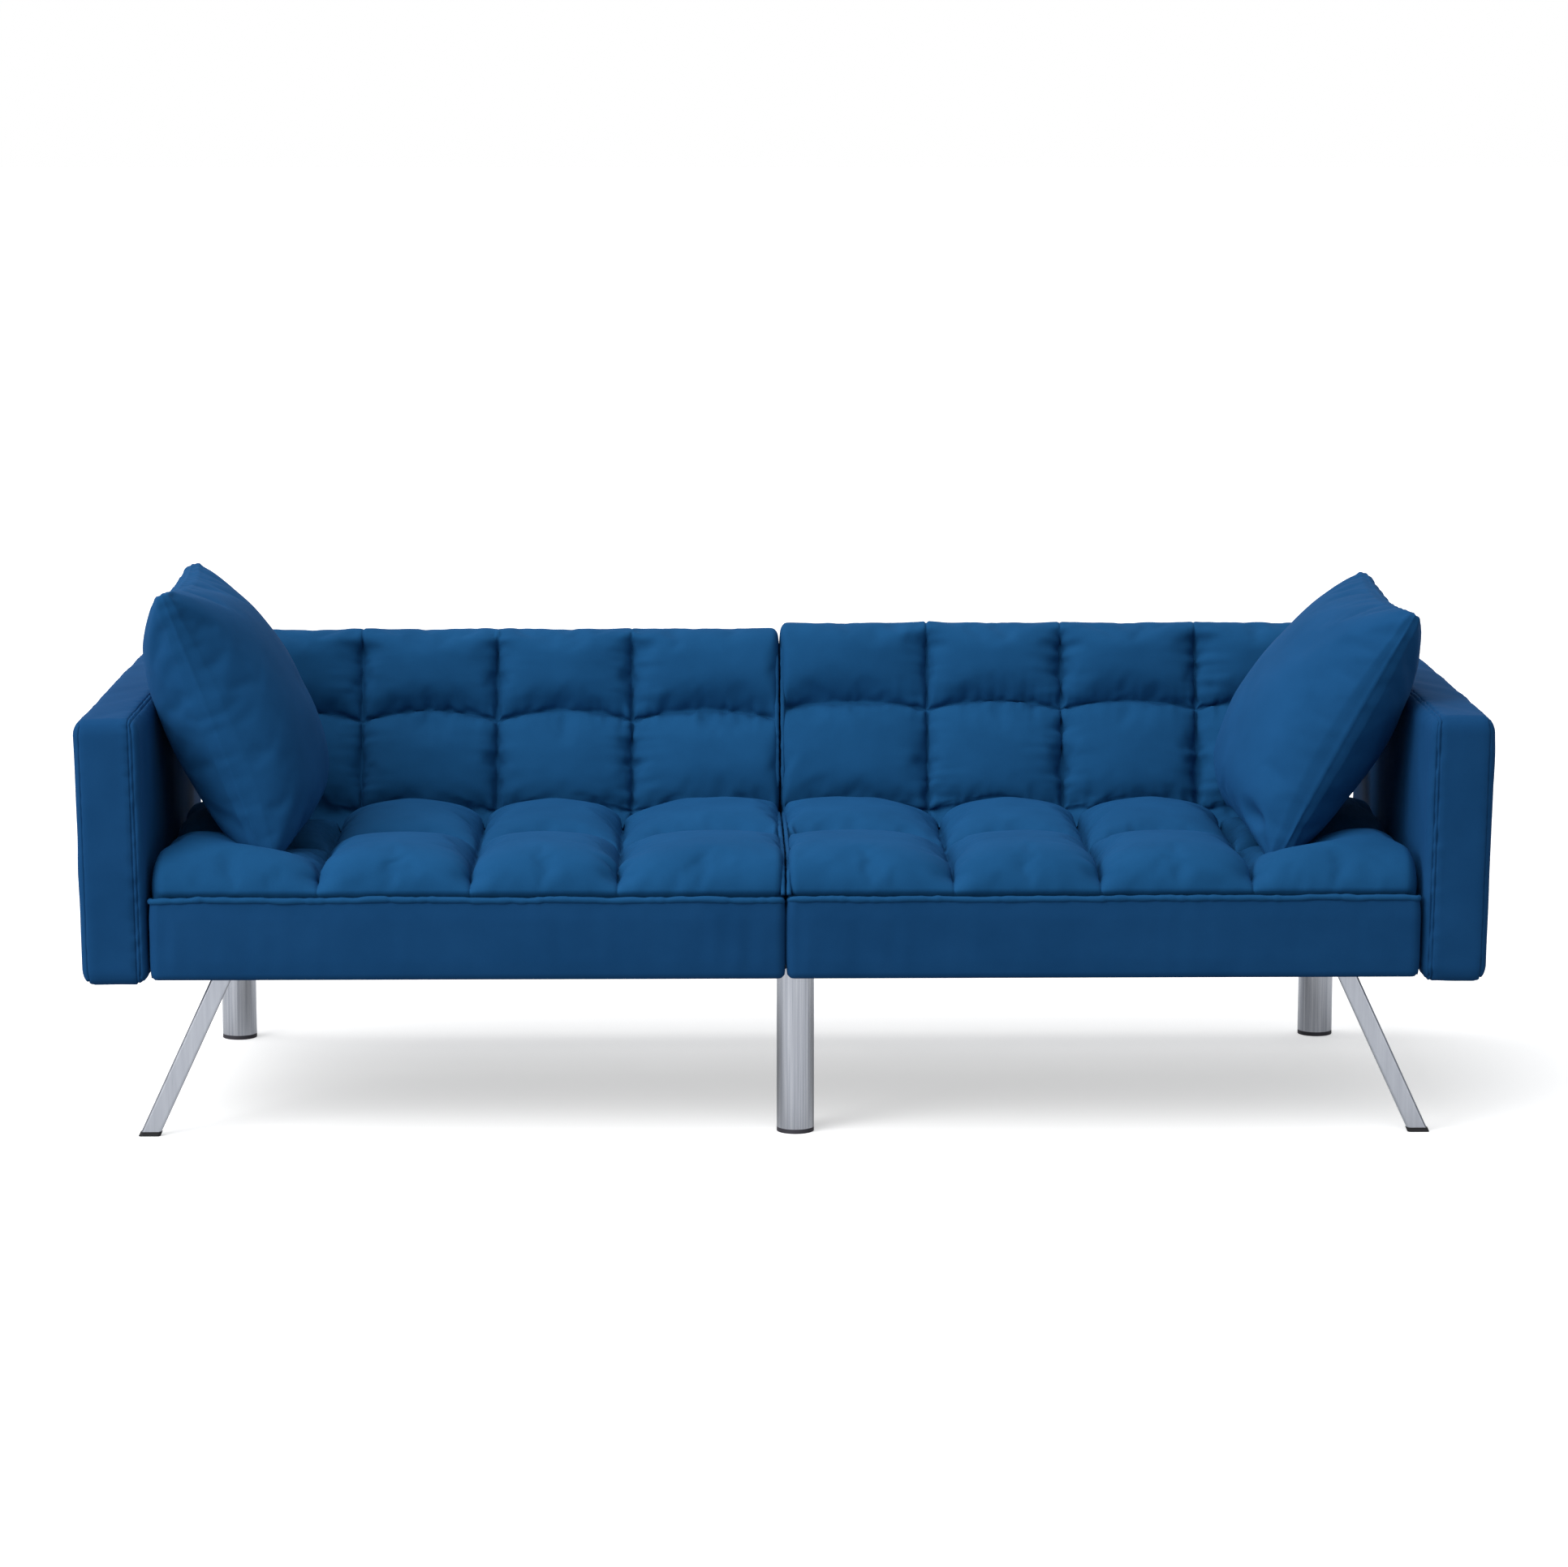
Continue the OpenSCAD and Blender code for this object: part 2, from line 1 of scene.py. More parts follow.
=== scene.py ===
import bpy
import json
import math
import numpy as np
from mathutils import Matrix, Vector


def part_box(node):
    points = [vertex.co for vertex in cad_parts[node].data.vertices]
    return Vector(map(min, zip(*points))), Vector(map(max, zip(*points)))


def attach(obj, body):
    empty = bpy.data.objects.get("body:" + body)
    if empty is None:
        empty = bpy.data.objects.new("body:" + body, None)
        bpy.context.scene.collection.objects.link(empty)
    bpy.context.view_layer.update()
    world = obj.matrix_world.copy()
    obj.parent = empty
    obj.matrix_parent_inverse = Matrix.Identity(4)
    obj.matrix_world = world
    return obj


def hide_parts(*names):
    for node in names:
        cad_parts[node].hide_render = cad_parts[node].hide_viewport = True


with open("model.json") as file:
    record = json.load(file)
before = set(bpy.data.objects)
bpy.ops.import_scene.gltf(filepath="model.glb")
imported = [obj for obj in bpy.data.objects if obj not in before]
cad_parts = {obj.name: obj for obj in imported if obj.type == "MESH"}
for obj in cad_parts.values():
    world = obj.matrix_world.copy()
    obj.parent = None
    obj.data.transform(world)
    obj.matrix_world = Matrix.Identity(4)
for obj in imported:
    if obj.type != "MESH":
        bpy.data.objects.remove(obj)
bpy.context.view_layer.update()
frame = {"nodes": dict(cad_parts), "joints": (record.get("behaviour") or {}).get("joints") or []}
nodes = frame["nodes"]
print("frame loaded", len(nodes), "nodes")


def linear(hexText):
    # one sRGB hex colour as linear light
    c = np.array([int(hexText[i:i + 2], 16) for i in (1, 3, 5)]) / 255
    c = np.where(c <= 0.04045, c / 12.92, ((c + 0.055) / 1.055) ** 2.4)
    return (*c, 1.0)


def ramp(x, low, high):
    # 0 below low, 1 above high, smooth between
    t = np.clip((x - low) / (high - low), 0, 1)
    return t * t * (3 - 2 * t)


def softNoise(x, y, size, seed):
    # random values from -1 to 1 on a square lattice of the given size, blended smoothly
    table = np.random.default_rng(seed).uniform(-1, 1, (64, 64))
    u, v = np.asarray(x) / size, np.asarray(y) / size
    i, j = np.floor(u).astype(int), np.floor(v).astype(int)
    s, t = u - i, v - j
    s, t = s * s * (3 - 2 * s), t * t * (3 - 2 * t)
    a, b = table[i % 64, j % 64], table[(i + 1) % 64, j % 64]
    c, d = table[i % 64, (j + 1) % 64], table[(i + 1) % 64, (j + 1) % 64]
    return (a * (1 - s) + b * s) * (1 - t) + (c * (1 - s) + d * s) * t


def gridLines(low, high, step, creases=(), near=(0.0018, 0.0045, 0.010)):
    # evenly spaced lines from low to high, with extra ones beside each crease
    lines = list(np.linspace(low, high, max(2, int(round((high - low) / step)) + 1)))
    for c in creases:
        reach = near[-1] + 0.4 * step
        lines = [v for v in lines if abs(v - c) > reach or v in (low, high)]
        lines += [c] + [c + n for n in near] + [c - n for n in near]
    return np.unique(np.round(np.clip(lines, low, high), 7))


def boxLattice(lines):
    # the six faces of a box on three sets of grid lines, their shared edges merged
    count = [len(a) for a in lines]
    quads = []
    for axis in range(3):
        a, b = (axis + 1) % 3, (axis + 2) % 3
        ia, ib = np.meshgrid(np.arange(count[a] - 1), np.arange(count[b] - 1), indexing="ij")
        for side in (0, count[axis] - 1):
            ring = []
            for da, db in ((0, 0), (1, 0), (1, 1), (0, 1)):
                at = [None, None, None]
                at[axis] = np.full(ia.shape, side)
                at[a], at[b] = ia + da, ib + db
                ring.append(((at[0] * count[1] + at[1]) * count[2] + at[2]).ravel())
            ring = ring[::-1] if side == 0 else ring
            quads.append(np.stack(ring, 1))
    keys, where = np.unique(np.concatenate(quads), return_inverse=True)
    i, rest = keys // (count[1] * count[2]), keys % (count[1] * count[2])
    points = np.stack([lines[0][i], lines[1][rest // count[2]], lines[2][rest % count[2]]], 1)
    return points, where.reshape(-1, 4)


def roundEdges(points, low, high, radLow, radHigh):
    # each point of a box is pulled onto quarter ellipses along the edges; also gives normals
    low, high, radLow, radHigh = (np.array(v, float) for v in (low, high, radLow, radHigh))
    inner = np.clip(points, low + radLow, high - radHigh)
    away = points - inner
    radius = np.where(away < 0, radLow, radHigh)
    unit = away / radius
    unit /= np.linalg.norm(unit, axis=1, keepdims=True)
    normal = unit / radius
    normal /= np.linalg.norm(normal, axis=1, keepdims=True)
    return inner + unit * radius, normal


def newMesh(name, points, quads):
    mesh = bpy.data.meshes.new(name)
    quads = np.asarray(quads)
    mesh.vertices.add(len(points))
    mesh.vertices.foreach_set("co", np.asarray(points, np.float32).ravel())
    mesh.loops.add(quads.size)
    mesh.loops.foreach_set("vertex_index", quads.ravel().astype(np.int32))
    mesh.polygons.add(len(quads))
    size = quads.shape[1]
    mesh.polygons.foreach_set("loop_start", np.arange(0, quads.size, size, dtype=np.int32))
    mesh.update(calc_edges=True)
    mesh.validate()
    return mesh


def newObject(name, points, quads):
    obj = bpy.data.objects.new(name, newMesh(name, points, quads))
    bpy.context.scene.collection.objects.link(obj)
    return obj


def meshArrays(mesh):
    points = np.empty(len(mesh.vertices) * 3, np.float32)
    mesh.vertices.foreach_get("co", points)
    normals = np.empty(len(mesh.vertices) * 3, np.float32)
    mesh.vertices.foreach_get("normal", normals)
    corners = np.empty(len(mesh.loops), np.int32)
    mesh.loops.foreach_get("vertex_index", corners)
    return (points.reshape(-1, 3).astype(float), normals.reshape(-1, 3).astype(float),
            corners.reshape(-1, 4))


def evaluated(obj):
    # the object's mesh as its modifiers leave it, as arrays
    ready = obj.evaluated_get(bpy.context.evaluated_depsgraph_get())
    return meshArrays(ready.to_mesh())


def discard(obj):
    mesh = obj.data
    bpy.data.objects.remove(obj)
    bpy.data.meshes.remove(mesh)


def subdivide(points, quads, levels=1):
    obj = newObject("subdividing", points, quads)
    modifier = obj.modifiers.new("smooth", "SUBSURF")
    modifier.levels = modifier.render_levels = levels
    result = evaluated(obj)
    discard(obj)
    return result


def inflate(points, quads, held, air):
    # cloth is blown up from inside with its held points fixed, then each point's way is capped
    obj = newObject("inflating", points, quads)
    if held is not None:
        group = obj.vertex_groups.new(name="held")
        group.add(np.flatnonzero(held).tolist(), 1.0, "REPLACE")
    cloth = obj.modifiers.new("cloth", "CLOTH")
    cloth.point_cache.frame_start = 1
    cloth.point_cache.frame_end = air["frames"]
    rules = cloth.settings
    rules.quality = 5
    rules.mass = 0.3
    rules.tension_stiffness = rules.compression_stiffness = air["stiffness"]
    rules.shear_stiffness = air["stiffness"] / 3
    rules.bending_stiffness = air["bending"]
    rules.air_damping = 2
    rules.use_pressure = True
    rules.uniform_pressure_force = air["pressure"]
    rules.effector_weights.gravity = 0
    rules.shrink_min = -air["spare"]
    if held is not None:
        rules.vertex_group_mass = "held"
    cloth.collision_settings.use_collision = False
    for number in range(1, air["frames"] + 1):
        bpy.context.scene.frame_set(number)
    moved = evaluated(obj)[0]
    bpy.context.scene.frame_set(1)
    discard(obj)
    step = moved - points
    length = np.linalg.norm(step, axis=1, keepdims=True)
    return points + step * np.minimum(1, air["reach"] / np.maximum(length, 1e-9))


def tubeAlong(path, radius, sides=10):
    # a round section carried along a path of points, closed at both ends
    path = np.asarray(path, float)
    radius = np.broadcast_to(radius, len(path))
    way = np.gradient(path, axis=0)
    way /= np.linalg.norm(way, axis=1, keepdims=True)
    up = np.tile([0.0, 0.0, 1.0], (len(path), 1))
    up[np.abs(way[:, 2]) > 0.8] = [0, 1, 0]
    side = np.cross(way, up)
    side /= np.linalg.norm(side, axis=1, keepdims=True)
    for k in range(1, len(side)):  # no sudden turn of the section between two rings
        if np.dot(side[k], side[k - 1]) < 0:
            side[k:] *= -1
    up = np.cross(side, way)
    turn = np.linspace(0, 2 * np.pi, sides, endpoint=False)
    ring = (np.cos(turn)[None, :, None] * side[:, None] +
            np.sin(turn)[None, :, None] * up[:, None]) * radius[:, None, None]
    points = (path[:, None] + ring).reshape(-1, 3)
    i, j = np.meshgrid(np.arange(len(path) - 1), np.arange(sides), indexing="ij")
    i, j = i.ravel(), j.ravel()
    k = (j + 1) % sides
    quads = np.stack([i * sides + j, (i + 1) * sides + j, (i + 1) * sides + k,
                      i * sides + k], 1)
    ends = []
    for start, flip in ((0, False), ((len(path) - 1) * sides, True)):
        half = sides // 2
        for m in range(half - 1):  # a cap of quads across the ring
            q = [start + m, start + m + 1, start + sides - 2 - m, start + sides - 1 - m]
            ends.append(q if not flip else q[::-1])
    return points, np.concatenate([quads, np.array(ends)])


def finishPiece(name, points, quads, material, body, replaced=(), mirrored=False):
    if mirrored:
        points = points * [-1, 1, 1]
        quads = np.asarray(quads)[:, ::-1]
    obj = newObject(name, points, quads)
    obj.data.materials.append(material)
    obj.data.polygons.foreach_set("use_smooth", np.ones(len(obj.data.polygons), bool))
    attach(obj, body)
    if replaced:
        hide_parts(*replaced)
    return obj


def roundedBlock(low, high, steps, radius):
    # a thin block on an even grid with all its edges rounded alike
    points, quads = boxLattice([gridLines(*line) for line in zip(low, high, steps)])
    return roundEdges(points, low, high, radius, radius)[0], quads


cameraFacts = {"place": (-0.1021, -6.584, 1.4566), "down": 8.822, "turn": -0.916,
               "lens": 108.19}
cameraData = bpy.data.cameras.new("camera")
cameraData.lens = cameraFacts["lens"]
cameraData.sensor_width = 36
cameraData.clip_end = 60
camera = bpy.data.objects.new("camera", cameraData)
camera.location = cameraFacts["place"]
camera.rotation_euler = (math.radians(90 - cameraFacts["down"]), 0,
                         math.radians(cameraFacts["turn"]))
bpy.context.scene.collection.objects.link(camera)
bpy.context.scene.camera = camera
bpy.context.scene.view_settings.view_transform = "Standard"


def addNode(tree, kind, settings=None, links=None):
    # a node with its settings, and its inputs linked to outputs or set to values
    node = tree.nodes.new(kind)
    for key, value in (settings or {}).items():
        setattr(node, key, value)
    for key, value in (links or {}).items():
        if isinstance(value, bpy.types.NodeSocket):
            tree.links.new(value, node.inputs[key])
        else:
            node.inputs[key].default_value = value
    return node


lightFacts = {
    "ambient": 0.50, "ambientColour": (0.97, 0.985, 1, 1),
    "flagFrom": 0.5, "flagTo": 0.85, "flagColour": (0.2, 0.21, 0.23, 1),
    "sunFrom": (-0.62, -0.36, 1.0), "sunStrength": 2.35, "sunSpread": 70,
    "aim": (0, 0, 0.35),
    "lamps": {
        "frontLeft": {"place": (-3.1, -2.7, 2.3), "size": (2.2, 2.2), "power": 72},
        "stripLeft": {"place": (-2.3, -4.2, 0.7), "size": (0.22, 1.3), "power": 6},
        "stripRight": {"place": (2.3, -4.2, 0.7), "size": (0.22, 1.3), "power": 6},
    },
}


def shadeWorld():
    # a pale studio: plain white to look at, with a grey flag at each side for the steel to
    # reflect, and a dimmer light of its own so that the sun lamp shapes the cloth
    world = bpy.data.worlds.new("studio")
    bpy.context.scene.world = world
    world.use_nodes = True
    tree = world.node_tree
    tree.nodes.clear()
    place = addNode(tree, "ShaderNodeTexCoord")
    parts = addNode(tree, "ShaderNodeSeparateXYZ", links={0: place.outputs["Generated"]})
    side = addNode(tree, "ShaderNodeMath", {"operation": "ABSOLUTE"}, {0: parts.outputs["X"]})
    shade = addNode(tree, "ShaderNodeValToRGB", links={"Fac": side.outputs[0]})
    shade.color_ramp.elements[0].position = lightFacts["flagFrom"]
    shade.color_ramp.elements[0].color = (1, 1, 1, 1)
    shade.color_ramp.elements[1].position = lightFacts["flagTo"]
    shade.color_ramp.elements[1].color = lightFacts["flagColour"]
    rays = addNode(tree, "ShaderNodeLightPath")
    reflected = addNode(tree, "ShaderNodeBackground", links={"Color": shade.outputs["Color"]})
    ambient = addNode(tree, "ShaderNodeBackground", links={
        "Color": lightFacts["ambientColour"], "Strength": lightFacts["ambient"]})
    seen = addNode(tree, "ShaderNodeBackground", links={"Color": (1, 1, 1, 1)})
    lit = addNode(tree, "ShaderNodeMixShader", links={
        0: rays.outputs["Is Glossy Ray"], 1: ambient.outputs[0], 2: reflected.outputs[0]})
    both = addNode(tree, "ShaderNodeMixShader", links={
        0: rays.outputs["Is Camera Ray"], 1: lit.outputs[0], 2: seen.outputs[0]})
    addNode(tree, "ShaderNodeOutputWorld", links={"Surface": both.outputs[0]})


shadeWorld()
sun = bpy.data.lights.new("sun", "SUN")
sun.energy = lightFacts["sunStrength"]
sun.angle = math.radians(lightFacts["sunSpread"])
holder = bpy.data.objects.new("sun", sun)
holder.rotation_euler = Vector(lightFacts["sunFrom"]).to_track_quat("Z", "Y").to_euler()
bpy.context.scene.collection.objects.link(holder)
for name, facts in lightFacts["lamps"].items():
    lamp = bpy.data.lights.new(name, "AREA")
    lamp.shape = "RECTANGLE"
    lamp.size, lamp.size_y = facts["size"]
    lamp.energy = facts["power"]
    holder = bpy.data.objects.new(name, lamp)
    holder.location = facts["place"]
    way = Vector(lightFacts["aim"]) - Vector(facts["place"])
    holder.rotation_euler = way.to_track_quat("-Z", "Y").to_euler()
    bpy.context.scene.collection.objects.link(holder)


def plainMaterial(name):
    material = bpy.data.materials.new(name)
    material.use_nodes = True
    tree = material.node_tree
    tree.nodes.clear()
    place = addNode(tree, "ShaderNodeTexCoord").outputs["Object"]
    skin = addNode(tree, "ShaderNodeBsdfPrincipled")
    addNode(tree, "ShaderNodeOutputMaterial", links={"Surface": skin.outputs[0]})
    return material, tree, place, skin


def noiseAt(tree, place, scale, detail=3.0, stretch=(1, 1, 1), rough=0.5):
    spot = addNode(tree, "ShaderNodeMapping", links={"Vector": place, "Scale": stretch})
    return addNode(tree, "ShaderNodeTexNoise", links={
        "Vector": spot.outputs[0], "Scale": scale, "Detail": detail, "Roughness": rough})


def colourBetween(tree, amount, dark, light, low=0.3, high=0.7):
    shade = addNode(tree, "ShaderNodeValToRGB", links={"Fac": amount})
    shade.color_ramp.elements[0].position = low
    shade.color_ramp.elements[0].color = linear(dark)
    shade.color_ramp.elements[1].position = high
    shade.color_ramp.elements[1].color = linear(light)
    return shade.outputs["Color"]


def velvet(name, dark, light, sheen=0.12):
    # short-pile polyester velvet: the brushed pile gives faint lighter and darker clouds about
    # 70 mm across, and the pile itself a fine grain; fibres are 0.1 mm, drawn as 1.5 mm here
    material, tree, place, skin = plainMaterial(name)
    clouds = noiseAt(tree, place, 1 / 0.07, 4.0, rough=0.55)
    grain = noiseAt(tree, place, 1 / 0.0015, 2.0)
    mixed = addNode(tree, "ShaderNodeMath", {"operation": "MULTIPLY_ADD"},
                    {0: grain.outputs["Fac"], 1: 0.35, 2: clouds.outputs["Fac"]})
    colour = colourBetween(tree, mixed.outputs[0], dark, light, 0.42, 0.95)
    tree.links.new(colour, skin.inputs["Base Color"])
    rough = addNode(tree, "ShaderNodeMapRange", links={
        "Value": grain.outputs["Fac"], "To Min": 0.78, "To Max": 0.95})
    tree.links.new(rough.outputs[0], skin.inputs["Roughness"])
    bump = addNode(tree, "ShaderNodeBump", links={
        "Strength": 0.25, "Distance": 0.0006, "Height": mixed.outputs[0]})
    tree.links.new(bump.outputs[0], skin.inputs["Normal"])
    skin.inputs["Specular IOR Level"].default_value = 0.12
    skin.inputs["Specular Tint"].default_value = linear("#4a8ad0")
    skin.inputs["Sheen Weight"].default_value = sheen
    skin.inputs["Sheen Roughness"].default_value = 0.5
    skin.inputs["Sheen Tint"].default_value = linear("#3d86d6")
    return material


def brushedSteel(name, base, rough, stretch, scale):
    # satin chromed steel: fine lines along the tube give long soft streaks in the reflection
    material, tree, place, skin = plainMaterial(name)
    lines = noiseAt(tree, place, scale, 4.0, stretch, 0.6)
    streaks = addNode(tree, "ShaderNodeMapRange", links={
        "Value": lines.outputs["Fac"], "To Min": rough - 0.07, "To Max": rough + 0.09})
    tree.links.new(streaks.outputs[0], skin.inputs["Roughness"])
    tree.links.new(colourBetween(tree, lines.outputs["Fac"], base[0], base[1]),
                   skin.inputs["Base Color"])
    bump = addNode(tree, "ShaderNodeBump", links={
        "Strength": 0.12, "Distance": 0.0003, "Height": lines.outputs["Fac"]})
    tree.links.new(bump.outputs[0], skin.inputs["Normal"])
    skin.inputs["Metallic"].default_value = 1.0
    return material


def speckled(name, dark, light, rough, scale, metallic=0.0, depth=0.0002, stretch=(1, 1, 1)):
    # a plain finish with a fine moulded, cast or fibrous grain
    material, tree, place, skin = plainMaterial(name)
    grain = noiseAt(tree, place, scale, 5.0, stretch, 0.65)
    tree.links.new(colourBetween(tree, grain.outputs["Fac"], dark, light),
                   skin.inputs["Base Color"])
    spread = addNode(tree, "ShaderNodeMapRange", links={
        "Value": grain.outputs["Fac"], "To Min": rough - 0.08, "To Max": rough + 0.08})
    tree.links.new(spread.outputs[0], skin.inputs["Roughness"])
    bump = addNode(tree, "ShaderNodeBump", links={
        "Strength": 0.3, "Distance": depth, "Height": grain.outputs["Fac"]})
    tree.links.new(bump.outputs[0], skin.inputs["Normal"])
    skin.inputs["Metallic"].default_value = metallic
    return material


def wovenCloth(name, dark, light, pitch):
    # plain-woven polypropylene: crossed threads, drawn at the pitch given
    material, tree, place, skin = plainMaterial(name)
    turn = 2 * math.pi / pitch / 20
    warp = addNode(tree, "ShaderNodeTexWave", {"bands_direction": "X"}, {
        "Vector": place, "Scale": turn, "Distortion": 0.4, "Detail": 1.0})
    weft = addNode(tree, "ShaderNodeTexWave", {"bands_direction": "Y"}, {
        "Vector": place, "Scale": turn, "Distortion": 0.4, "Detail": 1.0})
    both = addNode(tree, "ShaderNodeMath", {"operation": "MULTIPLY"}, {
        0: warp.outputs["Fac"], 1: weft.outputs["Fac"]})
    tree.links.new(colourBetween(tree, both.outputs[0], dark, light, 0.1, 0.8),
                   skin.inputs["Base Color"])
    bump = addNode(tree, "ShaderNodeBump", links={
        "Strength": 0.4, "Distance": 0.0004, "Height": both.outputs[0]})
    tree.links.new(bump.outputs[0], skin.inputs["Normal"])
    skin.inputs["Roughness"].default_value = 0.88
    return material


floorFacts = {"half": 60.0, "colour": "#f2f2f2", "lift": 0.46, "bounce": "#8a8c90",
              "gloss": 0.42}


def layFloor():
    # a plain pale floor; it throws less light back on the sofa than its own colour would
    half = floorFacts["half"]
    floor = newObject("floor", np.array([[-half, -half, 0], [half, -half, 0],
                                         [half, half, 0], [-half, half, 0]]),
                      np.array([[0, 1, 2, 3]]))
    paper = bpy.data.materials.new("paperSweep")
    paper.use_nodes = True
    tree = paper.node_tree
    tree.nodes.clear()
    rays = addNode(tree, "ShaderNodeLightPath")
    seen = addNode(tree, "ShaderNodeBsdfPrincipled", links={
        "Base Color": linear(floorFacts["colour"]), "Roughness": 0.9,
        "Emission Color": (1, 1, 1, 1), "Emission Strength": floorFacts["lift"]})
    thrown = addNode(tree, "ShaderNodeBsdfDiffuse",
                     links={"Color": linear(floorFacts["bounce"])})
    direct = addNode(tree, "ShaderNodeMath", {"operation": "MULTIPLY_ADD"}, {
        0: rays.outputs["Is Glossy Ray"], 1: floorFacts["gloss"],
        2: rays.outputs["Is Camera Ray"]})
    both = addNode(tree, "ShaderNodeMixShader", links={
        0: direct.outputs[0], 1: thrown.outputs[0], 2: seen.outputs[0]})
    addNode(tree, "ShaderNodeOutputMaterial", links={"Surface": both.outputs[0]})
    floor.data.materials.append(paper)


layFloor()

tuftedVelvet = velvet("tuftedBlueVelvet", "#17466f", "#1b4e7a")
plainVelvet = velvet("plainBlueVelvet", "#153f68", "#194570", 0.1)
weltVelvet = velvet("weltBlueVelvet", "#17456d", "#1b4c77")
pillowVelvet = velvet("pillowBlueVelvet", "#17456f", "#1b4c79", 0.1)
satinSteel = brushedSteel("satinChromedSteel", ("#a4a8b1", "#cfd2d9"), 0.22, (1, 1, 0.012), 300)
barSteel = brushedSteel("satinChromedBar", ("#b4b8c1", "#bfc3cb"), 0.30, (1, 1, 0.03), 300)
blackSteel = speckled("powderCoatedSteel", "#17171a", "#232327", 0.5, 700, 0.2)
zincSteel = speckled("zincPlatedSteel", "#9a9a94", "#b9b8ae", 0.32, 300, 1.0)
rubberPad = speckled("blackRubber", "#161618", "#222226", 0.82, 500)
blackPlastic = speckled("blackPolypropylene", "#2b2932", "#37353d", 0.55, 600)
pineTimber = speckled("planedPine", "#b48a56", "#d9b583", 0.62, 60, 0, 0.0003, (0.06, 1, 1))
strapWeave = wovenCloth("elasticWebbing", "#2a2623", "#4a443e", 0.003)
linerCloth = wovenCloth("spunBondLiner", "#0c0c0e", "#1b1b1e", 0.002)
# the first row whose names fit a node gives its finish; the rest, which are bolts, screws,
# pins and springs, are zinc plated
finishes = (
    (("seat_rails", "arm_frame", "back_frame"), pineTimber),
    (("seat_webbing", "back_webbing"), strapWeave),
    (("dust",), linerCloth),
    (("runner_l", "runner_r", "runner_c", "rear_beam", "hinge_plates", "hinge_arms"),
     blackSteel),
    (("front_leg",), barSteel),
    (("rear_leg", "centre_leg"), satinSteel),
    (("beam_buffers", "front_foot_pads"), rubberPad),
    (("foot_caps",), blackPlastic),
    (("seat_", "back_", "arm_cover", "pillow"), plainVelvet),
)
for name, obj in nodes.items():
    finish = next((made for starts, made in finishes if name.startswith(starts)), zincSteel)
    obj.data.materials.clear()
    obj.data.materials.append(finish)
print("camera, light and finishes made")


# crown and wall are the exponents of a tuft's shape; edgeStart and edgeSpan are the part of a
# whole tuft that an outermost one keeps; the rest are lengths
tuftShape = {"crownX": 3.4, "crownY": 3.2, "wall": 0.5, "edgeStart": 0.42, "edgeSpan": 0.58,
             "layer": 0.011, "margin": 0.03, "cleftWidth": 0.003, "sewnWidth": 0.0012,
             "heldEdge": 0.0025}
puckerFacts = {"stretch": (0.22, 0.3), "size": (0.0100, 0.0065), "patch": 0.08,
               "fadeX": 0.022, "fadeY": 0.016, "start": (0.0005, 0.004)}


def cellOf(v, lines):
    # which cell between two lines a value falls in, and its share of the way across
    i = np.clip(np.searchsorted(lines, v, side="right") - 1, 0, len(lines) - 2)
    return i, (v - lines[i]) / (lines[i + 1] - lines[i])


def acrossTuft(v, lines, crown):
    # (1 - |1 - 2a|^crown)^wall, with a from 0 to 1 across a tuft: 0 on a sewn line and 1 on
    # the crown, near-vertical walls and a broad top; also the distance to the next sewn line
    t = tuftShape
    i, a = cellOf(v, lines)
    a = np.clip(a, 0, 1)
    width, last = lines[i + 1] - lines[i], len(lines) - 2
    seam = np.minimum(np.where(i > 0, a, 9) * width, np.where(i < last, 1 - a, 9) * width)
    # the outermost tufts have no sewn line on their outer side
    a = np.where(i == 0, t["edgeStart"] + t["edgeSpan"] * a,
                 np.where(i == last, a * t["edgeSpan"], a))
    return (1 - np.abs(1 - 2 * a) ** crown) ** t["wall"], seam


def tuftFill(x, y, pad):
    # the fill in both directions; row lines rise to an arc in the middle of each tuft
    columns, rows = np.array(pad["columns"]), np.array(pad["rows"])
    a = np.clip(cellOf(x, columns)[1], 0, 1)
    lift = pad["arc"] * 4 * a * (1 - a)
    y = y - lift * np.clip(1 - np.abs(y - pad["arcRow"]) / pad["arcFade"], 0, 1)
    fillX, seamX = acrossTuft(x, columns, tuftShape["crownX"])
    fillY, seamY = acrossTuft(y, rows, tuftShape["crownY"])
    return fillX, fillY, seamX, seamY


def foldLines(along, away, seed):
    # two sizes of fold, drawn out in the direction that leads away from the sewing
    p = puckerFacts
    return (softNoise(along, away * p["stretch"][0], p["size"][0], seed) +
            0.5 * softNoise(along, away * p["stretch"][1], p["size"][1], seed + 1))


def puckers(x, y, seamX, seamY, pad):
    # short folds that run away from each sewn line and die out about 20 mm from it
    p, seed = puckerFacts, pad["seed"]
    strength = 0.75 + 0.5 * softNoise(x, y, p["patch"], seed + 4)
    folds = (foldLines(y, x, seed) * np.exp(-seamX / p["fadeX"]) +
             foldLines(x, y, seed + 2) * np.exp(-seamY / p["fadeY"]))
    return pad["pucker"] * strength * folds * ramp(np.minimum(seamX, seamY), *p["start"])


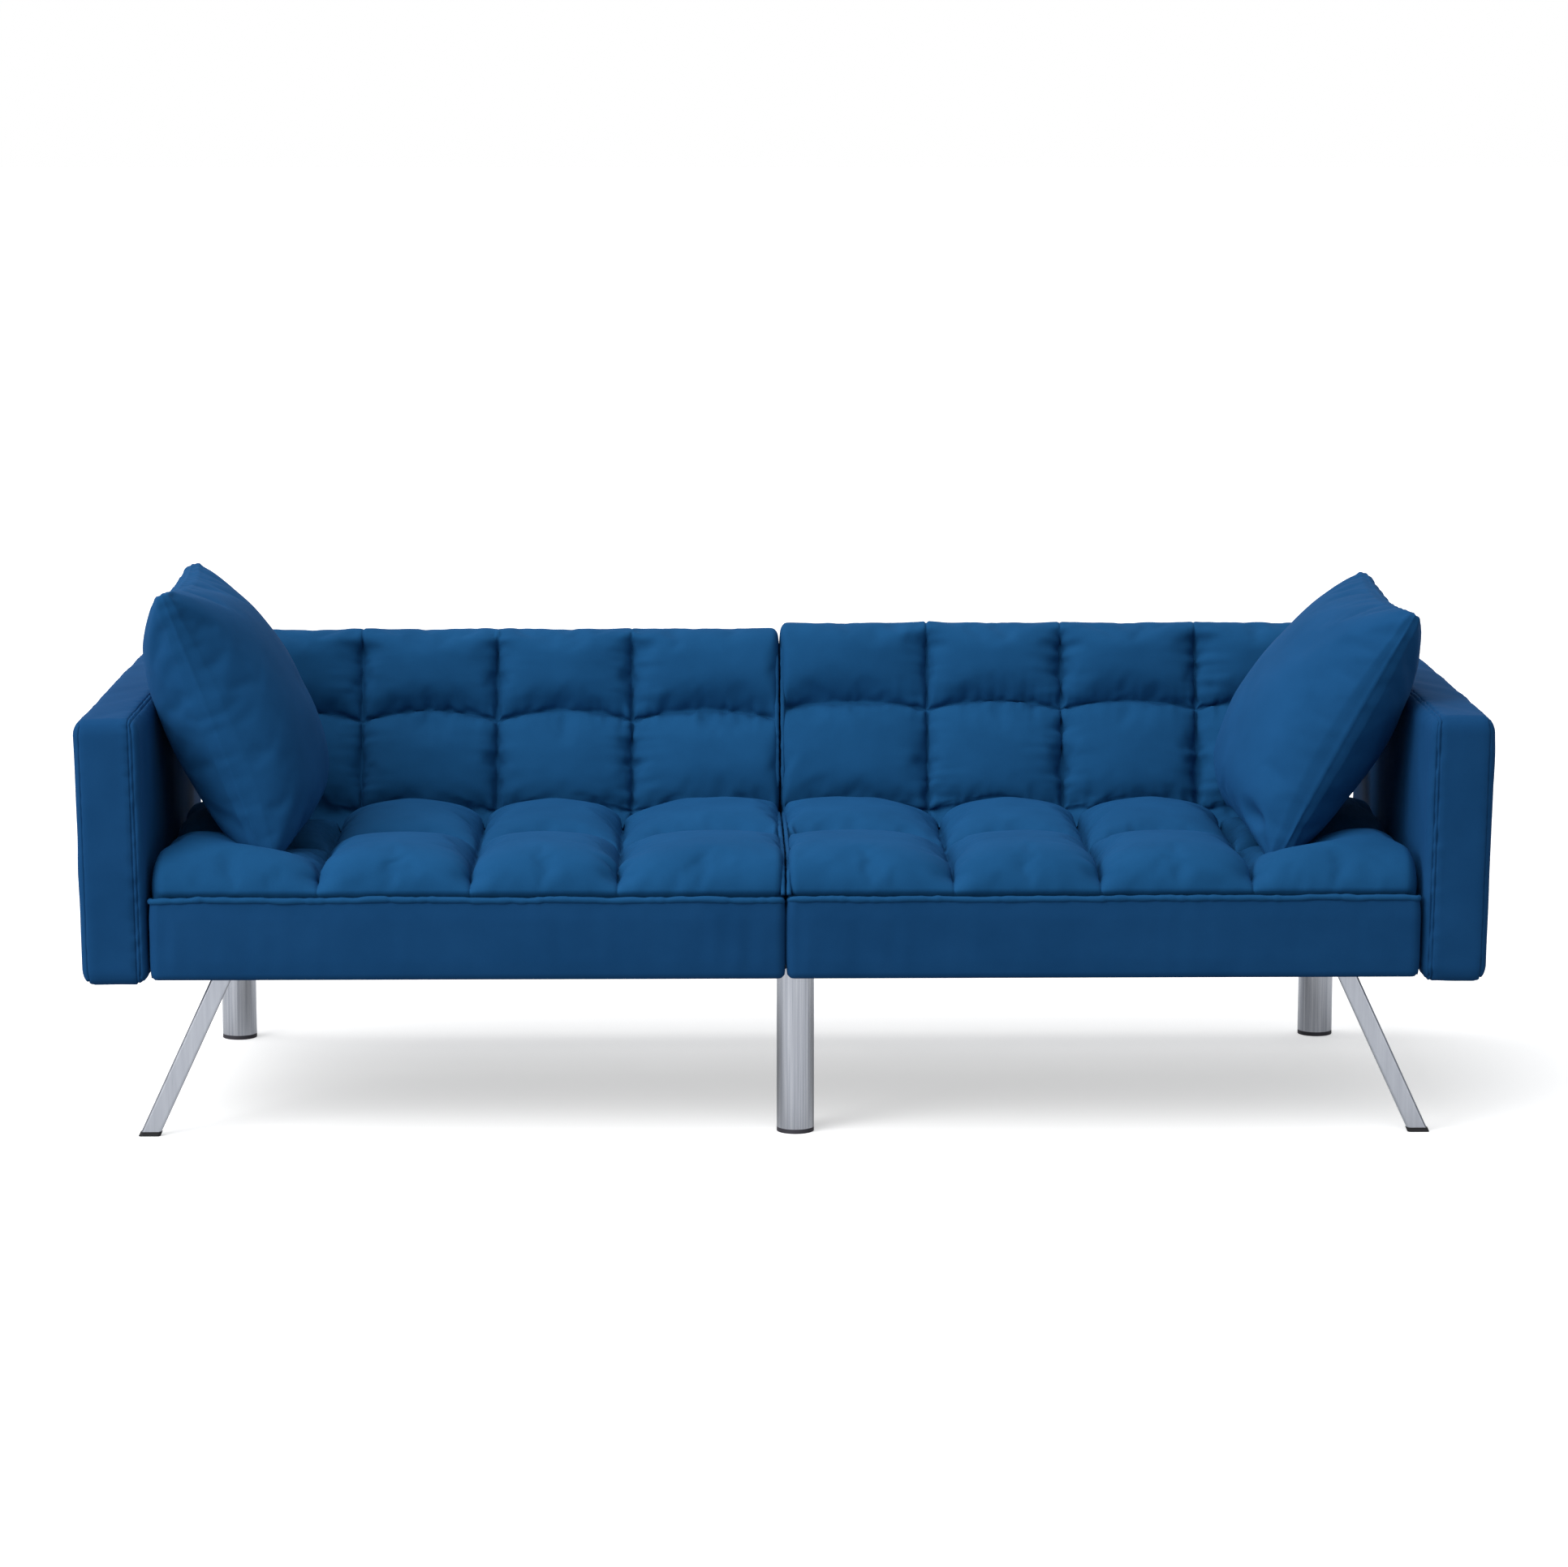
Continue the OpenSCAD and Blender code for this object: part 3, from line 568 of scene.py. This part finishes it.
def tuftedPad(pad):
    # a rounded block whose upper face is quilted into tufts: the sewn lines are held down
    # while air pressure blows the rest up, then the folds beside the sewing are added
    t = tuftShape
    low, high = np.array(pad["low"]), np.array(pad["high"])
    lines = [gridLines(low[0], high[0], pad["step"], pad["columns"][1:-1]),
             gridLines(low[1], high[1], pad["step"], pad["rows"][1:-1]),
             gridLines(low[2], high[2], t["layer"])]
    points, quads = boxLattice(lines)
    # the row lines follow their arcs, so the grid of the upper face is bent to them
    top = np.where(points[:, 2] > high[2] - 1e-6, 1.0, 0.0)
    a = cellOf(points[:, 0], np.array(pad["columns"]))[1]
    for row in pad["rows"][1:-1]:
        fade = np.clip(1 - np.abs(points[:, 1] - row) / pad["arcFade"], 0, 1)
        inside = (points[:, 1] > low[1] + t["margin"]) & (points[:, 1] < high[1] - t["margin"])
        points[:, 1] += inside * top * fade * pad["arc"] * 4 * a * (1 - a)
    points, normal = roundEdges(points, low, high, pad["radLow"], pad["radHigh"])
    fillX, fillY, seamX, seamY = tuftFill(points[:, 0], points[:, 1], pad)
    seam = np.minimum(seamX, seamY)
    quilted = (high[2] - pad["sewnDown"], high[2] - 0.4 * pad["sewnDown"])
    upper = ramp(points[:, 2], *quilted)
    # the sewn line itself is a narrow cleft, and it dies out over the far edge
    cleft = np.exp(-(seam / t["cleftWidth"]) ** 2)
    dip = pad["depth"] * (1 - fillX * fillY) + pad["cleft"] * cleft
    dip = dip * upper * (1 - pad["calm"] * ramp(points[:, 1], high[1] - 0.04, high[1] - 0.004))
    dip *= 0.12 + 0.88 * ramp(points[:, 0], low[0] + 0.001, low[0] + 0.014)
    border = points[:, 0] < low[0] + t["heldEdge"]
    points = points - normal * dip[:, None]
    sewn = (seam < t["sewnWidth"]) & (upper > 0)
    under = points[:, 2] < quilted[0]
    points = inflate(points, quads, sewn | under | border, pad["air"])
    points, normal, quads = subdivide(points, quads)
    # the cloth presses flat on its neighbour, and stays behind the welt
    points[:, :2] = np.maximum(points[:, :2], low[:2])
    _, _, seamX, seamY = tuftFill(points[:, 0], points[:, 1], pad)
    fold = puckers(points[:, 0], points[:, 1], seamX, seamY, pad) * ramp(points[:, 2], *quilted)
    points = points + normal * fold[:, None]
    points[:, 0] = np.maximum(points[:, 0], low[0])
    return points, quads


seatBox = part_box("seat_pad_right")
seatLow, seatHigh = np.array(seatBox[0]), np.array(seatBox[1])
padAir = {"frames": 12, "pressure": 4.0, "stiffness": 12.0, "bending": 0.4, "spare": 0.02,
          "reach": 0.012}
seatFacts = {
    "low": seatLow + [-0.0029, 0.005, 0], "high": seatHigh + [0.0008, 0, 0.018], "step": 0.0076,
    "columns": [seatLow[0], 0.226, 0.4235, 0.628, seatHigh[0]],
    "rows": [seatLow[1], seatLow[1] + 0.248, seatHigh[1]],
    "arc": 0.015, "arcRow": seatLow[1] + 0.248, "arcFade": 0.12,
    "radLow": (0.010, 0.058, 0.004), "radHigh": (0.018, 0.03, 0.050),
    "depth": 0.036, "cleft": 0.007, "calm": 0.0, "sewnDown": 0.056, "pucker": 0.0034,
    "tuck": 0.0085, "weltZone": (0.337, 0.343), "air": padAir,
    "hollow": {"across": 0.70, "width": 0.055, "depth": 0.023},
}


def makeSeat(side, mirrored, seed):
    f, hollow = seatFacts, seatFacts["hollow"]
    points, quads = tuftedPad(dict(f, seed=seed))
    # the front below the welt is tucked back behind the border
    tuck = ramp(-points[:, 2], -f["weltZone"][1], -f["weltZone"][0]) * ramp(
        -points[:, 1], -(seatLow[1] + 0.02), -(seatLow[1] + 0.006))
    points[:, 1] += f["tuck"] * tuck
    # the pillow's lower edge presses a shallow hollow into the top
    pressed = np.exp(-((points[:, 0] - hollow["across"]) / hollow["width"]) ** 2) * ramp(
        points[:, 1], seatLow[1] + 0.05, seatLow[1] + 0.12) * ramp(points[:, 2], 0.34, 0.37)
    points[:, 2] -= hollow["depth"] * pressed
    piece = finishPiece(f"seatCushion{side}", points, quads, tuftedVelvet,
                        "base", [f"seat_pad_{side.lower()}"], mirrored)


makeSeat("Right", False, 11)
makeSeat("Left", True, 31)
print("seat cushions made")

joints = {j["name"]: j for j in frame["joints"]}
pivot = np.array(joints["back_right_recline"]["pos_m"])
backFacts = {
    "lean": 19.5, "front": 0.058, "rear": 0.0545, "below": 0.038, "above": 0.314,
    "inner": 0.0001, "outer": 0.8268, "rise": 0.008, "columns": (0.2145, 0.4095, 0.6055),
    "lowRow": 0.042, "slot": (0.0195, 0.0370), "slotTop": 0.026, "narrow": 0.0020,
    "widen": 0.0070,
}


def backToWorld(points):
    # from the back's own directions (x sideways, y up it, z out of its face) to the sofa's
    lean = math.radians(backFacts["lean"])
    x, up, out = points[:, 0], points[:, 1], points[:, 2]
    y = pivot[1] + up * math.sin(lean) - out * math.cos(lean)
    z = pivot[2] + up * math.cos(lean) + out * math.sin(lean)
    return np.stack([x, y, z], 1)


def makeBack(side, mirrored, seed, rise, row, arc):
    b = backFacts
    facts = {
        "low": np.array([b["inner"], -b["below"], -b["rear"]]),
        "high": np.array([b["outer"], b["above"] + rise, b["front"]]), "step": 0.0076,
        "columns": [b["inner"], *b["columns"], b["outer"]],
        "rows": [-b["below"], b["lowRow"], row, b["above"] + rise],
        "arc": arc, "arcRow": row, "arcFade": 0.1,
        "radLow": (0.007, 0.006, 0.004), "radHigh": (0.022, 0.026, 0.034),
        "depth": 0.022, "cleft": 0.007, "calm": 0.97, "sewnDown": 0.048, "pucker": 0.0034,
        "seed": seed, "air": padAir,
    }
    points, quads = tuftedPad(facts)
    # a slot in the lower edge lets the fixed plate of the inner hinge pass
    slot = (points[:, 0] > b["slot"][0]) & (points[:, 0] < b["slot"][1])
    points[:, 1] = np.where(slot, np.maximum(points[:, 1], b["slotTop"]), points[:, 1])
    # the outer end is narrower beside the outer hinge and wider above it
    narrow = ramp(-points[:, 1], -0.15, -0.135) * ramp(points[:, 0], 0.80, b["outer"])
    points[:, 0] -= b["narrow"] * narrow
    wide = ramp(points[:, 1], 0.145, 0.165)
    points[:, 0] += b["widen"] * wide * ramp(points[:, 0], 0.78, b["outer"])
    piece = finishPiece(f"backCushion{side}", backToWorld(points), quads, tuftedVelvet,
                        f"back_{side.lower()}",
                        [f"back_pad_{side.lower()}"], mirrored)


makeBack("Right", False, 51, backFacts["rise"], 0.190, 0.014)
makeBack("Left", True, 71, 0.0, 0.174, 0.018)
print("back cushions made")

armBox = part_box("arm_cover_right")
armFacts = {
    "thick": 0.090, "tall": 0.358, "splay": 1.0, "radius": (0.018, 0.016, 0.024),
    "footHeight": 0.224, "footRadius": 0.020, "footDrop": 0.0026, "puff": 0.0035,
    "tight": 0.0008, "slack": 0.0009, "seams": (0.0075, 0.0830), "seamDepth": 0.0020,
    "seamWidth": 0.0015, "stitchGap": 0.0066, "stitchGrid": (0.0008, 0.0016, 0.0026),
    "pucker": 0.0016, "puckerSize": 0.0085, "puckerFade": 0.005,
}


def makeArm(side, mirrored, seed):
    f = armFacts
    deep = armBox[1][1] - armBox[0][1]
    # two rows of stitches beside the inner edge, one beside the outer
    sewn = [f["seams"][0], f["seams"][0] + f["stitchGap"], f["seams"][1]]
    lines = [gridLines(0, f["thick"], 0.006, sewn, f["stitchGrid"]),
             gridLines(0, deep, 0.0045), gridLines(0, f["tall"], 0.0045)]
    points, quads = boxLattice(lines)
    flat = points.copy()
    r = f["radius"]
    points, normal = roundEdges(points, (0, 0, 0), (f["thick"], deep, f["tall"]),
                                (r[0], r[1], f["footRadius"]), r)
    points[:, 2] -= f["footDrop"] * ramp(-points[:, 2], -0.03, 0)
    # padding swells each side a little in its middle
    middle = np.sin(np.pi * flat[:, 1] / deep) * np.sin(np.pi * flat[:, 2] / f["tall"])
    swell = f["puff"] * np.abs(normal[:, 0]) * middle - f["tight"] * ramp(
        normal[:, 2], -0.9, -0.3)
    swell += f["tight"] * ramp(-normal[:, 2], 0.0, 1.0)
    # sewn lines run round the band that covers front, top and rear
    band = np.sqrt(np.clip(1 - normal[:, 0] ** 2, 0, 1))
    along = flat[:, 1] + flat[:, 2]
    groove = np.zeros(len(points))
    for s in sewn:
        gap = np.abs(flat[:, 0] - s)
        groove += f["seamDepth"] * np.exp(-(gap / f["seamWidth"]) ** 2)
        pull = softNoise(along, flat[:, 0], f["puckerSize"], seed) * np.exp(
            -gap / f["puckerFade"])
        groove += f["pucker"] * pull * (0.6 if s > 0.04 else 1)
    soft = f["slack"] * softNoise(flat[:, 1] + flat[:, 0] * 2, flat[:, 2], 0.05, seed + 1)
    points = points + normal * (swell + soft - groove * band)[:, None]
    turn = math.radians(f["splay"])
    x = armBox[0][0] + points[:, 0] * math.cos(turn) + points[:, 2] * math.sin(turn)
    z = f["footHeight"] + points[:, 2] * math.cos(turn) - points[:, 0] * math.sin(turn)
    points = np.stack([x, armBox[0][1] + points[:, 1], z], 1)
    piece = finishPiece(f"armCover{side}", points, quads, plainVelvet, "base",
                        [f"arm_cover_{side.lower()}"], mirrored)


makeArm("Right", False, 91)
makeArm("Left", True, 92)
print("arms made")

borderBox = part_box("seat_border_right")
borderFacts = {"thick": 0.0026, "low": 0.2268, "high": 0.3342, "turn": 0.011, "back": 0.075,
               "edge": (0.001, 0.0012, 0.001), "fold": 0.0008, "slack": 0.0022,
               "drawnIn": 0.004, "drawnFrom": 0.006}
panelFacts = {"low": 0.2315, "high": 0.331, "inset": 0.03, "thick": 0.004, "ripple": 0.0008}
coverFacts = {"low": (0.003, -0.017, -0.0592), "high": (-0.006, 0.294, -0.0552),
              "slack": 0.0016, "ripple": 0.0005}
sheetEdge = (0.0015,) * 3


def bendRound(along, inward, x0, x1, y0, turn, back):
    # a strip's length is laid along a U: up one side, round a corner, across the front and
    # back down the other side; also gives the outward direction
    quarter = turn * math.pi / 2
    spots = np.cumsum([0, back, quarter, x1 - x0 - 2 * turn, quarter, back])
    s = along
    first = np.clip((s - spots[1]) / quarter, 0, 1) * math.pi / 2
    second = np.clip((s - spots[3]) / quarter, 0, 1) * math.pi / 2
    angle = first + second  # 0 faces -x, a quarter turn faces -y, a half turn faces +x
    outX, outY = -np.cos(angle), -np.sin(angle)
    across = np.clip(s - spots[2], 0, spots[3] - spots[2])
    x = x0 + turn + across + outX * turn
    y = y0 + turn + outY * turn
    y += np.clip(spots[1] - s, 0, None) + np.clip(s - spots[4], 0, None)
    return x - outX * inward, y - outY * inward, outX, outY, spots


def makeBorder(side, mirrored, seed):
    # the upright cloth that wraps the front of the seat's frame and turns down its sides
    f = borderFacts
    x0, x1 = borderBox[0][0] - 0.0012, borderBox[1][0] - 0.0006
    y0 = borderBox[0][1] - 0.0014
    length = bendRound(np.zeros(1), 0, x0, x1, y0, f["turn"], f["back"])[4][-1]
    points, quads = roundedBlock((0, 0, f["low"]), (length, f["thick"], f["high"]),
                                 (0.0045, 0.0013, 0.0045), f["edge"])
    s, z = points[:, 0].copy(), points[:, 2].copy()
    x, y, outX, outY, spots = bendRound(s, points[:, 1], x0, x1, y0, f["turn"], f["back"])
    ends = np.exp(-np.abs(s - spots[2]) / 0.06) + 0.7 * np.exp(-np.abs(s - spots[3]) / 0.05)
    folds = softNoise(s, z * 0.12, 0.016, seed) * (0.5 + 2.0 * ends)
    below = f["high"] - z
    folds += 2.2 * np.exp(-below / 0.010) * softNoise(s, z, 0.011, seed + 1)
    tall = np.sin(np.pi * (z - f["low"]) / (f["high"] - f["low"]))
    swell = (f["fold"] * folds + f["slack"]) * np.clip(tall * 1.5, 0, 1)
    # the lower edge is drawn under the frame
    under = np.clip(1 - (z - f["low"]) / f["drawnFrom"], 0, 1) ** 2 * f["drawnIn"]
    points = np.stack([x + outX * (swell - under), y + outY * (swell - under), z], 1)
    finishPiece(f"seatBorder{side}", points, quads, plainVelvet,
                "base", [f"seat_border_{side.lower()}"], mirrored)
    # the plain panel that closes the rear of the seat
    p, y1 = panelFacts, borderBox[1][1]
    low = (x0 + p["inset"], y1 - p["thick"], p["low"])
    high = (x1 - p["inset"], y1, p["high"])
    points, quads = roundedBlock(low, high, (0.02, 0.002, 0.01), sheetEdge)
    points[:, 1] += p["ripple"] * softNoise(points[:, 0], points[:, 2], 0.05, seed + 2)
    finishPiece(f"seatRearPanel{side}", points, quads, plainVelvet, "base",
                (), mirrored)


makeBorder("Right", False, 101)
makeBorder("Left", True, 111)


def gathered(length, base, seed, step=0.003):
    # the thickness of a welt along its length: drawn in between the stitches
    count = int(length / step)
    s = np.linspace(0, length, count)
    return s / length, base * (1 + 0.16 * softNoise(s, s * 0, 0.007, seed))


def pathThrough(corners, share):
    # a smooth line through corner points, at the shares of its length given
    corners = np.array(corners, float)
    gone = np.concatenate([[0], np.cumsum(np.linalg.norm(np.diff(corners, axis=0), axis=1))])
    fine = np.stack([np.interp(np.linspace(0, gone[-1], 400), gone, corners[:, k])
                     for k in range(3)], 1)
    for _ in range(3):  # corners are rounded by averaging neighbours
        fine[1:-1] = (fine[:-2] + 2 * fine[1:-1] + fine[2:]) / 4
    at = np.linspace(0, 1, 400)
    return np.stack([np.interp(share, at, fine[:, k]) for k in range(3)], 1), gone[-1]


weltFacts = {"front": 0.0042, "edge": 0.0030, "backLength": 1.2, "seatLength": 0.49}


def makeWelts(side, mirrored, seed, rise):
    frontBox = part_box("seat_piping_right")
    y = (frontBox[0][1] + frontBox[1][1]) / 2 - 0.0024
    z = (frontBox[0][2] + frontBox[1][2]) / 2
    x0, x1 = frontBox[0][0], frontBox[1][0]
    share, radius = gathered(x1 - x0, weltFacts["front"], seed)
    path, _ = pathThrough([(x0 + 0.002, y + 0.010, z - 0.004), (x0 + 0.004, y + 0.001, z),
                           (x0 + 0.02, y, z), (x1 - 0.02, y, z + 0.001),
                           (x1 - 0.004, y + 0.001, z), (x1 - 0.001, y + 0.012, z - 0.001)],
                          share)
    path[:, 2] += 0.0013 * softNoise(path[:, 0], path[:, 0] * 0, 0.06, seed + 1)
    path[:, 2] += 0.0006 * softNoise(path[:, 0], path[:, 0] * 0, 0.016, seed + 2)
    points, quads = tubeAlong(path, radius)
    finishPiece(f"seatFrontWelt{side}", points, quads, weltVelvet, "base",
                [f"seat_piping_{side.lower()}"], mirrored)
    # along the top rear edge of the back and down its inner edge
    b = backFacts
    top = b["above"] + rise - 0.003
    corners = [(b["outer"] - 0.004, top - 0.03, -0.050), (b["outer"] - 0.012, top, -0.050),
               (0.4, top + 0.001, -0.050), (0.022, top, -0.050),
               (0.006, top - 0.006, -0.030), (0.0045, top - 0.012, 0.020),
               (0.0042, top - 0.045, 0.050), (0.0042, 0.12, 0.0525), (0.0042, 0.075, 0.050),
               (0.014, 0.060, 0.030)]
    share, radius = gathered(weltFacts["backLength"], weltFacts["edge"], seed + 3)
    path, _ = pathThrough(corners, share)
    points, quads = tubeAlong(backToWorld(path), radius)
    finishPiece(f"backWelt{side}", points, quads, weltVelvet,
                f"back_{side.lower()}", [f"back_piping_{side.lower()}"], mirrored)
    # along the inner edge of the seat, down to the front welt
    corners = [(0.004, seatHigh[1] - 0.03, 0.380), (0.004, seatHigh[1] - 0.2, 0.3855),
               (0.004, seatLow[1] + 0.07, 0.3855), (0.004, seatLow[1] + 0.022, 0.368),
               (0.004, seatLow[1] + 0.004, 0.341)]
    share, radius = gathered(weltFacts["seatLength"], weltFacts["edge"], seed + 5)
    path, _ = pathThrough(corners, share)
    points, quads = tubeAlong(path, radius)
    finishPiece(f"seatInnerWelt{side}", points, quads, weltVelvet, "base",
                (), mirrored)


makeWelts("Right", False, 121, backFacts["rise"])
makeWelts("Left", True, 131, 0.0)


def makeRearCover(side, mirrored, seed):
    # the plain cloth drawn over the rear of the back's frame, slightly slack
    c = coverFacts
    low = np.array(c["low"]) + [backFacts["inner"], 0, 0]
    high = np.array(c["high"]) + [backFacts["outer"], 0, 0]
    points, quads = roundedBlock(low, high, (0.012, 0.012, 0.002), sheetEdge)
    x, y = points[:, 0], points[:, 1]
    slack = np.sin(np.pi * (x - low[0]) / (high[0] - low[0])) * np.sin(
        np.pi * (y - low[1]) / (high[1] - low[1]))
    points[:, 2] += c["slack"] * slack + c["ripple"] * softNoise(x, y, 0.06, seed) * slack
    finishPiece(f"backRearCover{side}", backToWorld(points), quads, plainVelvet,
                f"back_{side.lower()}", [f"back_cover_{side.lower()}"],
                mirrored)


makeRearCover("Right", False, 141)
makeRearCover("Left", True, 142)
print("borders and welts made")

pillowAir = {"frames": 14, "pressure": 3.0, "stiffness": 10.0, "bending": 0.3, "spare": 0.015,
             "reach": 0.009}
pillowFacts = {
    "Right": {"centre": (0.752, -0.084, 0.5430), "lean": 28.0, "size": 0.404, "seed": 161,
              "middle": -1, "fuller": 1.12, "twist": 2.5, "yaw": 3.5, "tuck": 0.022},
    "Left": {"centre": (-0.770, -0.084, 0.5500), "lean": 19.8, "size": 0.414, "seed": 171,
             "middle": 1, "fuller": 1.12, "twist": 0.0, "yaw": 0.0, "tuck": 0.0},
}
pillowShape = {"armCheek": 0.075, "middleCheek": 0.090, "waist": 0.075, "cornerDraw": 0.032,
               "rim": 0.0018, "sag": 0.26, "fullness": 0.52, "earFold": 0.0018,
               "rimOver": 0.45, "ridge": 0.0009, "groove": 0.0030, "rimPull": 0.0008}


def rimSeam(points, normal, quads, onRim, seed):
    # the two sheets meet in a pulled-in line with a low ridge on each side; how far a point
    # is from the rim is spread outward over the mesh from the points of least thickness
    edges = np.unique(np.sort(np.concatenate([quads[:, [0, 1]], quads[:, [1, 2]],
                                              quads[:, [2, 3]], quads[:, [3, 0]]]), 1), axis=0)
    length = np.linalg.norm(points[edges[:, 0]] - points[edges[:, 1]], axis=1)
    shape = pillowShape
    away = np.where(onRim, 0.0, 1.0)
    for _ in range(9):
        for a, b in ((0, 1), (1, 0)):
            np.minimum.at(away, edges[:, a], away[edges[:, b]] + length)
    ridge = shape["ridge"] * np.exp(-((away - 0.0065) / 0.003) ** 2)
    ridge = ridge - shape["groove"] * np.exp(-(away / 0.0028) ** 2)
    pull = softNoise(points[:, 1], points[:, 2], 0.010, seed + 5) * np.exp(-away / 0.016)
    return points + normal * (ridge + shape["rimPull"] * pull)[:, None]


def makePillow(side):
    # two square sheets sewn at the rim. From above, an edge draws in by waist * (1 - v^2)
    # between its corners; each cheek is thickness * ((1 - u^2)(1 - v^2))^fullness, lower down
    # on the side that faces the middle; then a little air pressure settles it
    f, shape = pillowFacts[side], pillowShape
    half = f["size"] / 2
    even = np.linspace(-1, 1, 57)
    even = 0.7 * even + 0.3 * np.sin(even * np.pi / 2)
    points, quads = boxLattice([np.array([-1.0, 1.0]), even, even])
    cheek, u, v = points.T
    rim = (np.maximum(np.abs(u), np.abs(v)) > 1 - 1e-6).astype(float)
    onRim = subdivide(np.stack([u, v, rim], 1), quads)[0][:, 2] > shape["rimOver"]
    facing = cheek * f["middle"] > 0
    hump = ((1 - u ** 2) * (1 - v ** 2)).clip(0) ** shape["fullness"]
    thick = np.where(facing, f["fuller"] * shape["middleCheek"] * (1 - shape["sag"] * v),
                     shape["armCheek"] * (1 + 0.5 * shape["sag"] * v))
    soft = 1 + 0.035 * softNoise(u, v, 0.42, f["seed"])
    soft = soft + 0.02 * softNoise(u, v, 0.2, f["seed"] + 1)
    corner = (u * v) ** 12 * shape["cornerDraw"]
    x = cheek * (shape["rim"] + thick * hump * soft)
    y = half * u * (1 - shape["waist"] * (1 - v ** 2) * u ** 2) * (1 - corner)
    z = half * v * (1 - shape["waist"] * (1 - u ** 2) * v ** 2) * (1 - corner)
    # short drawn folds fan out from the four ears
    fromEar = np.hypot(1 - np.abs(u), 1 - np.abs(v))
    fan = np.sin(9 * np.arctan2(1 - np.abs(v), 1 - np.abs(u) + 1e-6) + 2 * np.sign(u) + v)
    x += cheek * shape["earFold"] * fan * np.exp(-((fromEar - 0.3) / 0.16) ** 2)
    # one pillow's lower front corner is tucked in under a short fold
    tucked = facing * np.exp(-(((u + 0.70) / 0.15) ** 2 + ((v + 0.76) / 0.085) ** 2))
    x -= cheek * f["tuck"] * tucked
    points = inflate(np.stack([x, y, z], 1), quads, rim > 0, pillowAir)
    points, normal, quads = subdivide(points, quads)
    points = rimSeam(points, normal, quads, onRim, f["seed"])
    twist = math.radians(f["twist"])
    y, z = points[:, 1].copy(), points[:, 2].copy()
    points[:, 1] = y * math.cos(twist) - z * math.sin(twist)
    points[:, 2] = y * math.sin(twist) + z * math.cos(twist)
    turn = math.radians(f["lean"]) * (1 if side == "Right" else -1)
    # the thicker cheek faces the middle of the sofa
    x = points[:, 0] * math.cos(turn) + points[:, 2] * math.sin(turn)
    z = points[:, 2] * math.cos(turn) - points[:, 0] * math.sin(turn)
    yaw = math.radians(f["yaw"])
    y = points[:, 1].copy()
    points = np.stack([x * math.cos(yaw) - y * math.sin(yaw),
                       y * math.cos(yaw) + x * math.sin(yaw), z], 1) + f["centre"]
    piece = finishPiece(f"pillow{side}", points, quads, pillowVelvet,
                        f"pillow_{side.lower()}", [f"pillow_{side.lower()}"])
    print("pillow", side, np.ptp(points, axis=0).round(3), points.min(0).round(3))


makePillow("Left")
makePillow("Right")
